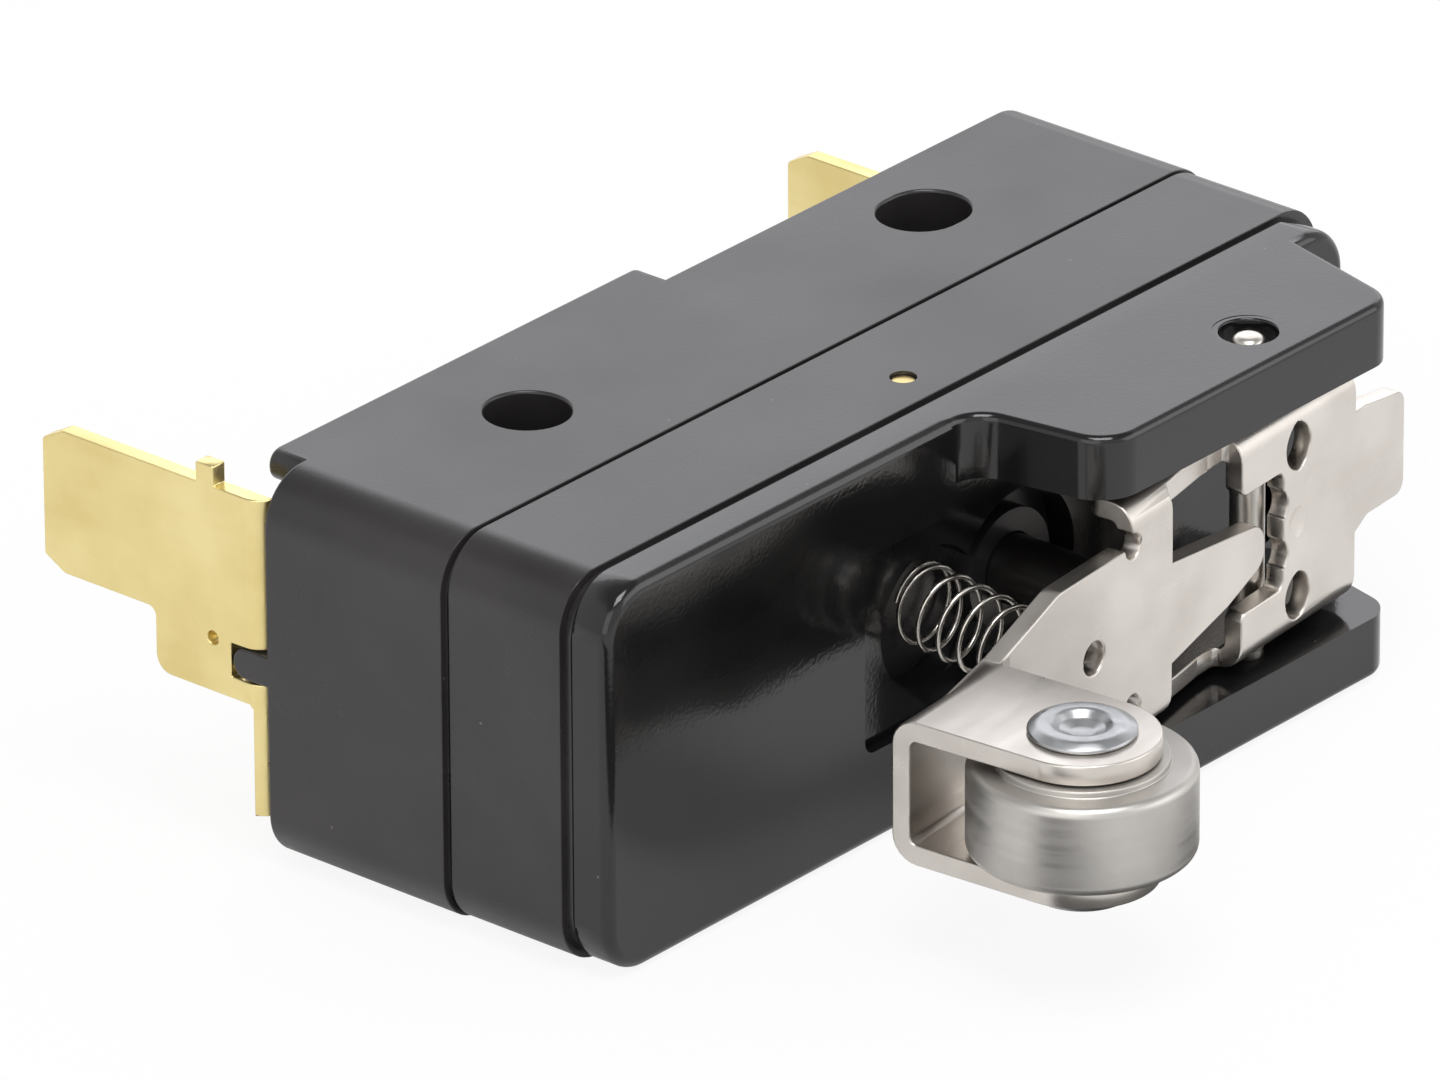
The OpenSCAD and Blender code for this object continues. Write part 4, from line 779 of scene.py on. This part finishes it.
housing_block = plate(rect(*HOUSING_X, *HOUSING_Z), CORNER, "Y", FRONT_Y, COVER_Y, steps=ROUND)
soften(housing_block, FRONT_R, 6, lambda p: p.y < FRONT_Y + NEAR)
soften(housing_block, LIP_R, 2, lambda p: p.y > COVER_Y - NEAR)
recess = plate(rect(*RECESS_X, MID_Z - RECESS_HALF, MID_Z + RECESS_HALF), RECESS_R, "Y", FRONT_Y - 1,
               FRONT_Y + RECESS_D)
pockets = [rod(d, (x, MID_Z), "Y", FRONT_Y - 1, COVER_Y + 1) for d, x in (SPRING_POCKET, PLUNGER_POCKET)]
lever_housing = build(
    "lever_housing", housing_block,
    joins=[ears] + both_sides(tongue, 0, COVER_Y - 0.3, COVER_Y + TONGUE_L),
    cuts=[recess] + pockets + [rod(HINGE_HOLE, HINGE[:2], "Z", -1, CASE_T + 1)]
    + both_sides(hinge_sink) + both_sides(pin_hole))
dress(lever_housing, "lever_housing", "case", "housing_plastic")

# %% [markdown]
# Two short brass pins hold the housing to the cover. They sit a little below the surface, so each shows
# as a bright dot in a dark ring. A hard steel pin carries the lever, with its ends domed over. Plain
# cylinders would do from afar, but a profile with rounded corners catches the light at its ends.

# %% Pins
def round_pin(r, low, high, corner, place):
    return turned([(0, low), (r, low), (r, high), (0, high)], [0, corner, corner, 0], place, steps=40)


pin = round_pin(0.55, 0.15, 3.5, 0.1, (*PIN_AT, 0))
upper_pin = other_side(pin)
dress(pin, "cover_pin_lower", "case", "rivet_brass")
dress(upper_pin, "cover_pin_upper", "case", "rivet_brass")
dress(round_pin(0.75, 0.27, CASE_T - 0.27, 0.4, HINGE), "hinge_pin", "case", "hinge_steel")

# %% [markdown]
# The lever is one blank of sheet metal, 0.9 mm thick and folded. It could be bent from a flat mesh with
# Solidify, but the bends' inner and outer radii are easier to hold as folded profiles: each is drawn
# end on, pushed to its length, and trimmed to its side view, as a press trims the blank. All is drawn
# in the lever's own frame at the hinge, where u runs along the plate and y towards the case.

# %% Lever sheet
SHEET, FACE = 0.9, -1.85
REAR = FACE + SHEET
BEND_OUT, BEND_IN = 1.2, 0.3
FORK_U, FORK_Z, FORK_END = (-27.2, -20.7), (4.52, 10.98), -14.58
AXLE_U, AXLE_Y, FORK_R = -23.95, -8.08, 3.24
FLANGE_U, FLANGE_Z, FLANGE_BACK, FLANGE_TIP = (-11.1, 5.4), (3.35, 14.15), 2.1, 0.5

lever_plate = plate([(-26.0, 5.72), (FORK_U[1], FORK_Z[0]), (-16.5, 5.1), (-10.2, 5.1), (-10.2, 12.4),
                     (-16.5, 12.4), (FORK_U[1], 10.97), (-26.0, 9.78)],
                    [0, 0.8, 1.5, 0, 0, 1.5, 0.8, 0], "Y", FACE, REAR)
tail = plate([(4.5, 6.0), (6.3, 7.0), (9.05, 7.0), (9.05, 11.7), (6.3, 12.1), (4.5, 12.1)],
             [0, 0.6, 0.6, 0.6, 0.3, 0], "Y", FACE, REAR)
fork = build(
    "fork",
    plate([(REAR, FORK_Z[0]), (REAR, FORK_Z[1]), (FORK_END, FORK_Z[1]), (FORK_END, FORK_Z[1] - SHEET),
           (FACE, FORK_Z[1] - SHEET), (FACE, FORK_Z[0] + SHEET), (FORK_END, FORK_Z[0] + SHEET),
           (FORK_END, FORK_Z[0])], [BEND_OUT, BEND_OUT, 0, 0, BEND_IN, BEND_IN, 0, 0], "X", *FORK_U),
    keeps=[plate(rect(*FORK_U, -11.33, REAR + 1), [FORK_R, FORK_R, 0, 0], "Z", 4, 12, steps=18)])
flanges = build(
    "flanges",
    plate([(FACE, FLANGE_Z[0]), (FLANGE_BACK, FLANGE_Z[0]), (FLANGE_BACK, FLANGE_Z[0] + SHEET),
           (REAR, FLANGE_Z[0] + SHEET), (REAR, FLANGE_Z[1] - SHEET), (FLANGE_BACK, FLANGE_Z[1] - SHEET),
           (FLANGE_BACK, FLANGE_Z[1]), (FACE, FLANGE_Z[1])],
          [BEND_OUT, 0, 0, BEND_IN, BEND_IN, 0, 0, BEND_OUT], "X", *FLANGE_U),
    keeps=[plate([(FLANGE_U[0], FACE - 1), (FLANGE_U[1], FACE - 1), (FLANGE_U[1], FLANGE_TIP),
                  (FLANGE_BACK, FLANGE_BACK), (-FLANGE_BACK, FLANGE_BACK), (FLANGE_U[0], FLANGE_TIP)],
                 [0, 0, 0.75, 1.2, 1.2, 0.75], "Z", 3, 15)])
print("lever blank: plate, tail,", fork.name, "and", flanges.name)

# %% [markdown]
# The window round the pointed tongue is cut as one tool: its outline, two scallops that widen its end,
# less the tongue that stays standing in it. Lens-shaped relief holes, a cut-back of the bends beside
# the window and a round nick at each flange keep the sheet from tearing where it is folded. A lens is
# what two overlapping rods have in common. All could be knifed into the faces, but a tool can be moved.

# %% Lever openings
WINDOW_U, LUG_U, LUG_H, WINDOW_R = -8.2, -3.1, 2.7, 0.4
WINDOW_Z = (FLANGE_Z[0] + BEND_OUT, FLANGE_Z[1] - BEND_OUT)
LUG_Z = (FLANGE_Z[0] + LUG_H, FLANGE_Z[1] - LUG_H)
THROUGH = (FACE - 0.5, REAR + 0.5)
SCALLOP_D, SCALLOP_U, SCALLOP_Z = 1.6, -0.45, 1.15
LENS_D, LENS_SHIFT, LENS_U, LENS_Z = 2.2444, 0.2222, 1.1, 3.45
NICK_D, NICK_AT = 1.12, (-11.11, 5.09)

tongue_left = plate([(-9.0, 5.7), (-4.1, 6.85), (-1.4, 7.85), (-1.4, 9.65), (-9.0, 10.6)],
                    [0, 0, 0.9, 0.9, 0], "Y", FACE - 1, REAR + 1)
window = build(
    "window",
    plate([(WINDOW_U, WINDOW_Z[0]), (LUG_U, WINDOW_Z[0]), (LUG_U, LUG_Z[0]), (0, LUG_Z[0]), (0, LUG_Z[1]),
           (LUG_U, LUG_Z[1]), (LUG_U, WINDOW_Z[1]), (WINDOW_U, WINDOW_Z[1])],
          [0, 0, WINDOW_R, WINDOW_R, WINDOW_R, WINDOW_R, 0, 0], "Y", *THROUGH),
    joins=[rod(SCALLOP_D, (SCALLOP_U, MID_Z + s * SCALLOP_Z), "Y", *THROUGH) for s in (-1, 1)],
    cuts=[tongue_left])


def relief_hole(side):
    near, far = (rod(LENS_D, (LENS_U + s * LENS_SHIFT, MID_Z + side * LENS_Z), "Y", *THROUGH) for s in (-1, 1))
    return build("relief", near, keeps=[far])


def bend_relief(stand=0.0):
    """Cut-back of a bend beside the window; the bend's edge may stand a little further forward."""
    return plate([(WINDOW_U, FACE - 0.5), (LUG_U, FACE - 0.5), (LUG_U, -0.5 - stand), (-4.4, -0.5 - stand),
                  (WINDOW_U, REAR - stand)], [0, 0, 0.3, 0.3, 0.3], "Z", 3.0, WINDOW_Z[0] + NEAR)


def nick():
    return rod(NICK_D, NICK_AT, "Y", *THROUGH, sides=24)


print("window", LUG_U - WINDOW_U, "mm long before the lugs")

# %% [markdown]
# The dimple in the plate is pressed. It could be sculpted, but a large ball cuts a clean shallow dish.
# Then all comes together: the plate takes its tail, fork and flanges, the openings are cut, and the last
# step tilts the lever to its rest. Its edges get the small round that stamping leaves.

# %% Lever
DIMPLE_U, DIMPLE_BALL, DIMPLE_DEPTH = 1.05, 1.827, 0.15
SPRING_HOLE, SPRING_AT, HINGE_D, AXLE_D = 1.5, (-13.95, 8.45), 1.6, 3.06
dimple = bmesh.new()
bmesh.ops.create_uvsphere(dimple, u_segments=64, v_segments=40, radius=DIMPLE_BALL)
bmesh.ops.translate(dimple, verts=dimple.verts[:], vec=(DIMPLE_U, FACE - DIMPLE_BALL + DIMPLE_DEPTH, MID_Z))
lever = build(
    "lever", lever_plate, joins=[tail, fork, flanges],
    cuts=[window, relief_hole(-1), relief_hole(1), bend_relief(), other_side(bend_relief(0.45))]
    + both_sides(nick)
    + [rod(SPRING_HOLE, SPRING_AT, "Y", *THROUGH), rod(HINGE_D, (0, 0), "Z", 0, CASE_T),
       rod(AXLE_D, (AXLE_U, AXLE_Y), "Z", 0, CASE_T), dimple])
lever.data.transform(Matrix.Translation(HINGE) @ Matrix.Rotation(TILT, 4, "Z"))
dress(lever, "lever", "lever", "lever_nickel", edge=0.09, segments=2, angle=50)

# %% [markdown]
# The roller and the rivet that carries it are turned, so each is a profile spun about the axle. The
# roller has raised hub faces, so that only they rub on the fork. The rivet's upper head was rolled over
# with a pointed tool: it is low and domed, with a soft hollow in the middle and a fine gap under its
# rim. Stacked cylinders could stand for it, but it has no straight line, and a profile can follow it.

# %% Roller and its rivet
AXLE = Vector((1.8365, -27.9164, 0.0))
HUB_R, ROLLER_R = 3.6, 4.75
roller = turned([(1.55, 5.5), (HUB_R, 5.5), (HUB_R, 5.78), (ROLLER_R, 5.78), (ROLLER_R, 9.72), (HUB_R, 9.72),
                 (HUB_R, 10.0), (1.55, 10.0)], [0, 0.08, 0.05, 0.4, 0.4, 0.05, 0.08, 0], AXLE, steps=96)
dress(roller, "roller", "roller", "roller_steel")
roller_rivet = turned([(0, 3.82), (2.35, 3.82), (2.35, FORK_Z[0]), (1.5, FORK_Z[0]), (1.5, FORK_Z[1]),
                       (2.18, FORK_Z[1]), (2.36, 11.12), (1.85, 11.40), (1.25, 11.42), (0.95, 11.12),
                       (0.50, 10.94), (0, 10.92)],
                      [0, 0.45, 0, 0, 0, 0, 0.12, 0.5, 0.3, 0.25, 0.3, 0], AXLE)
dress(roller_rivet, "roller_rivet", "lever", "rivet_zinc")

# %% [markdown]
# The plunger passes through the cover, from the lever to the snap blade inside. It is turned in shape: a
# round tip for the lever, a collar that keeps it from falling out, and a nose for the blade. It could
# be three rods joined, but as one profile its steps share an axis and nothing has to be cut.

# %% Plunger
plunger = turned([(0, 0), (1.2, 0), (1.2, 1.35), (2.4, 1.35), (2.4, 2.25), (1.5, 2.25), (1.5, 11.382),
                  (0, 11.382)], [0, 0.3, 0, 0, 0, 0, 0.7, 0], (PLUNGER_X, -8.07, MID_Z), towards="-Y")
dress(plunger, "plunger", "plunger", "plunger_plastic")

# %% [markdown]
# The return spring could be a curve with a round section, but a ring of vertices spun with a step along
# the axis gives a clean helix: a closed turn, open turns, a closed turn. A shear then leans it towards
# the lever, so that its coils stay parallel to the cover. When the lever is pressed the spring cannot
# follow as a rigid piece, so it stays with the case.

# %% Return spring
COIL = Vector((10.35, -12.37, MID_Z))
COIL_R, WIRE_R, COIL_START, LEAN = 1.7, 0.12, -160, 1.15 / 7.482
TURNS = ((1.0, 0.2372), (5.6, 7.0076), (1.0, 0.2372))
PER_TURN = 32
wire = bmesh.new()
bmesh.ops.create_circle(wire, segments=12, radius=WIRE_R)
bmesh.ops.translate(wire, verts=wire.verts[:], vec=(COIL_R, 0, 0))
bmesh.ops.rotate(wire, verts=wire.verts[:], cent=(0, 0, 0),
                 matrix=Matrix.Rotation(math.radians(COIL_START), 3, "Y"))
ring = wire.verts[:] + wire.edges[:]
for turns, rise in TURNS:
    steps = round(turns * PER_TURN)
    ring = bmesh.ops.spin(wire, geom=ring, cent=(0, 0, 0), axis=(0, 1, 0), dvec=(0, -rise / steps, 0),
                          angle=2 * math.pi * turns, steps=steps)["geom_last"]
bmesh.ops.holes_fill(wire, edges=[e for e in wire.edges if e.is_boundary], sides=0)
lean = Matrix.Identity(4)
lean[0][1] = LEAN
bmesh.ops.transform(wire, matrix=Matrix.Translation(COIL) @ lean, verts=wire.verts[:])
bmesh.ops.recalc_face_normals(wire, faces=wire.faces[:])
spring = dress(wire, "return_spring", "case", "spring_wire", angle=60)
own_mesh(spring)

# %% [markdown]
# The tabs are brass strip, bent once: a foot lies on the back of the base under a rivet, and the blade
# stands out from it with tapered lead-in corners for a push-on connector. As with the lever, a folded
# profile is trimmed by the outlines that a press would blank. Two tabs are alike, with a stepped blade,
# a pip on its edge, a notch for the key and a sight hole. Small gussets fill the corners where foot and
# blade meet, because a bevel that runs into a sharp inner corner there would throw out a spike.

# %% Notched tabs
TAB_T, TAB_END, SPARE = 0.8, 16.1, 0.2
STRIP, FOOT_IN = (-SPARE, TAB_T), BACK_Y - SPARE
FOOT_Z, BLADE_LOW, ROOT_X, ROOT_Y, GUSSET = (1.95, 13.1), 7.0, 1.4, BACK_Y + 1.2, 0.18
STEP_Y, LEAD_Y, TIP_R = 10, 15, 0.2
NOTCH_OUT, NOTCH_X = 1.92, 1.86


def fold(length):
    """The strip end on: foot along x, blade along y, with an outer and an inner bend radius."""
    return plate([(0, BACK_Y), (length, BACK_Y), (length, BACK_Y + TAB_T), (TAB_T, BACK_Y + TAB_T),
                  (TAB_T, TAB_END), (0, TAB_END)], [1.1, 0, 0, 0.3, 0, 0], "Z", 0, CASE_T)


def gussets():
    """Slanted fillings below the blade and beside its root."""
    y, low, high = BACK_Y + TAB_T, BLADE_LOW, FOOT_Z[1]
    below = [(y - SPARE, low - GUSSET), (y, low - GUSSET), (y + GUSSET, low), (y + GUSSET, low + 0.1),
             (y - SPARE, low + 0.1)]
    beside = [(TAB_T - SPARE, high - 0.1), (TAB_T + GUSSET, high - 0.1), (TAB_T + GUSSET, high),
              (TAB_T, high + GUSSET), (TAB_T - SPARE, high + GUSSET)]
    return [plate(below, 0, "X", -SPARE, ROOT_X), plate(beside, 0, "Y", FOOT_IN, ROOT_Y)]


def notched_tab(name, length, rivet_at):
    blade = plate([(BACK_Y, BLADE_LOW), (STEP_Y, BLADE_LOW), (STEP_Y, 9.85), (LEAD_Y, 9.85),
                   (TAB_END, 10.45), (TAB_END, 15.75), (LEAD_Y, 16.35), (BACK_Y, 16.35)],
                  [0, 0.8, 0.4, TIP_R, TIP_R, TIP_R, TIP_R, 0], "X", *STRIP)
    pip = plate(rect(BACK_Y + 2.75, BACK_Y + 3.7, 16.0, 17.25), 0, "X", *STRIP)
    foot = plate(rect(-SPARE, length, *FOOT_Z), 0.4, "Y", FOOT_IN, BACK_Y + TAB_T)
    root = plate(rect(-SPARE, ROOT_X, BLADE_LOW, FOOT_Z[1]), 0, "Y", FOOT_IN, ROOT_Y)
    notch = plate(rect(BACK_Y - 1, BACK_Y + NOTCH_OUT, MID_Z - KEY_HALF - PLAY, MID_Z + KEY_HALF + PLAY),
                  0, "X", -1, NOTCH_X)
    sight = rod(0.6, (BACK_Y + 2.9, 9.45), "X", -1, 2, sides=24)
    return build(name, blade, joins=[pip, foot, root] + gussets(),
                 cuts=[notch, sight, rod(RIVET_HOLE, (rivet_at, MID_Z), "Y", 3, 6)], keeps=[fold(length)])


TAB_EDGE = dict(edge=0.08, segments=2, angle=50)
common = notched_tab("common", 7.7, 5.1)
common.data.transform(Matrix.Translation((LEFT, 0, 0)))
dress(common, "terminal_common", "case", "tab_brass", **TAB_EDGE)
opened = notched_tab("opened", 7.2, 4.5)
opened.data.transform(Matrix.Translation((17.2, 0, CASE_T)) @ Matrix.Rotation(math.pi, 4, "Y"))
dress(opened, "terminal_normally_open", "case", "tab_brass", **TAB_EDGE)

# %% [markdown]
# The third tab is plainer: its blade is straight and as wide as its foot, with small shoulders for the
# connector. It is made the same way and turned round, so that its blade stands at the far end.

# %% Plain tab
FOOT_L = 6.6
closed = build(
    "closed",
    plate([(BACK_Y, 5.0), (STEP_Y, 5.0), (STEP_Y, 5.5), (LEAD_Y, 5.5), (TAB_END, 6.1), (TAB_END, 11.4),
           (LEAD_Y, 12.0), (STEP_Y, 12.0), (STEP_Y, 12.5), (BACK_Y, 12.5)],
          [0, 0.24, 0.24, TIP_R, TIP_R, TIP_R, TIP_R, 0.24, 0.24, 0], "X", *STRIP),
    joins=[plate(rect(-SPARE, FOOT_L, 5.0, 12.5), 0.4, "Y", FOOT_IN, BACK_Y + 1.0)],
    cuts=[rod(RIVET_HOLE, (3.9, MID_Z), "Y", 3, 6)], keeps=[fold(FOOT_L)])
closed.data.transform(Matrix.Translation((36.4, 0, CASE_T)) @ Matrix.Rotation(math.pi, 4, "Y"))
dress(closed, "terminal_normally_closed", "case", "tab_brass", **TAB_EDGE)

# %% [markdown]
# A brass rivet holds each tab to the base and carries the current through its floor. The head outside is
# domed and the one inside is smaller. It is one profile spun three times.

# %% Tab rivets
RIVET_TOP = 5.55
for name, x in RIVET_X.items():
    rivet = turned([(0, 0), (2.1, 0), (2.1, 0.8), (1.2, 0.8), (1.2, 9.25), (1.7, 9.25), (1.7, 9.85), (0, 9.85)],
                   [0, 0.45, 0, 0, 0, 0, 0.3, 0], (x, RIVET_TOP, MID_Z), towards="-Y", steps=48)
    dress(rivet, "rivet_" + name, "case", "rivet_brass")

# %% [markdown]
# The snap blade, its contacts and their carriers are shut inside the case. They could be modelled again
# too, but nothing of them shows and their solids already have the right shape, so they stay as they
# are and only take a metal finish.

# %% Inner metal parts
INNER = {"carrier_copper": ("blade_anchor", "snap_blade", "contact_strip", "contact_bracket"),
         "contact_silver": ("moving_contact", "fixed_contact_open", "fixed_contact_closed")}
for slot, names in INNER.items():
    for name in names:
        data = nodes[name].data
        data.materials.clear()
        data.materials.append(FINISH[slot])
print("inner solids finished:", sum(len(names) for names in INNER.values()))
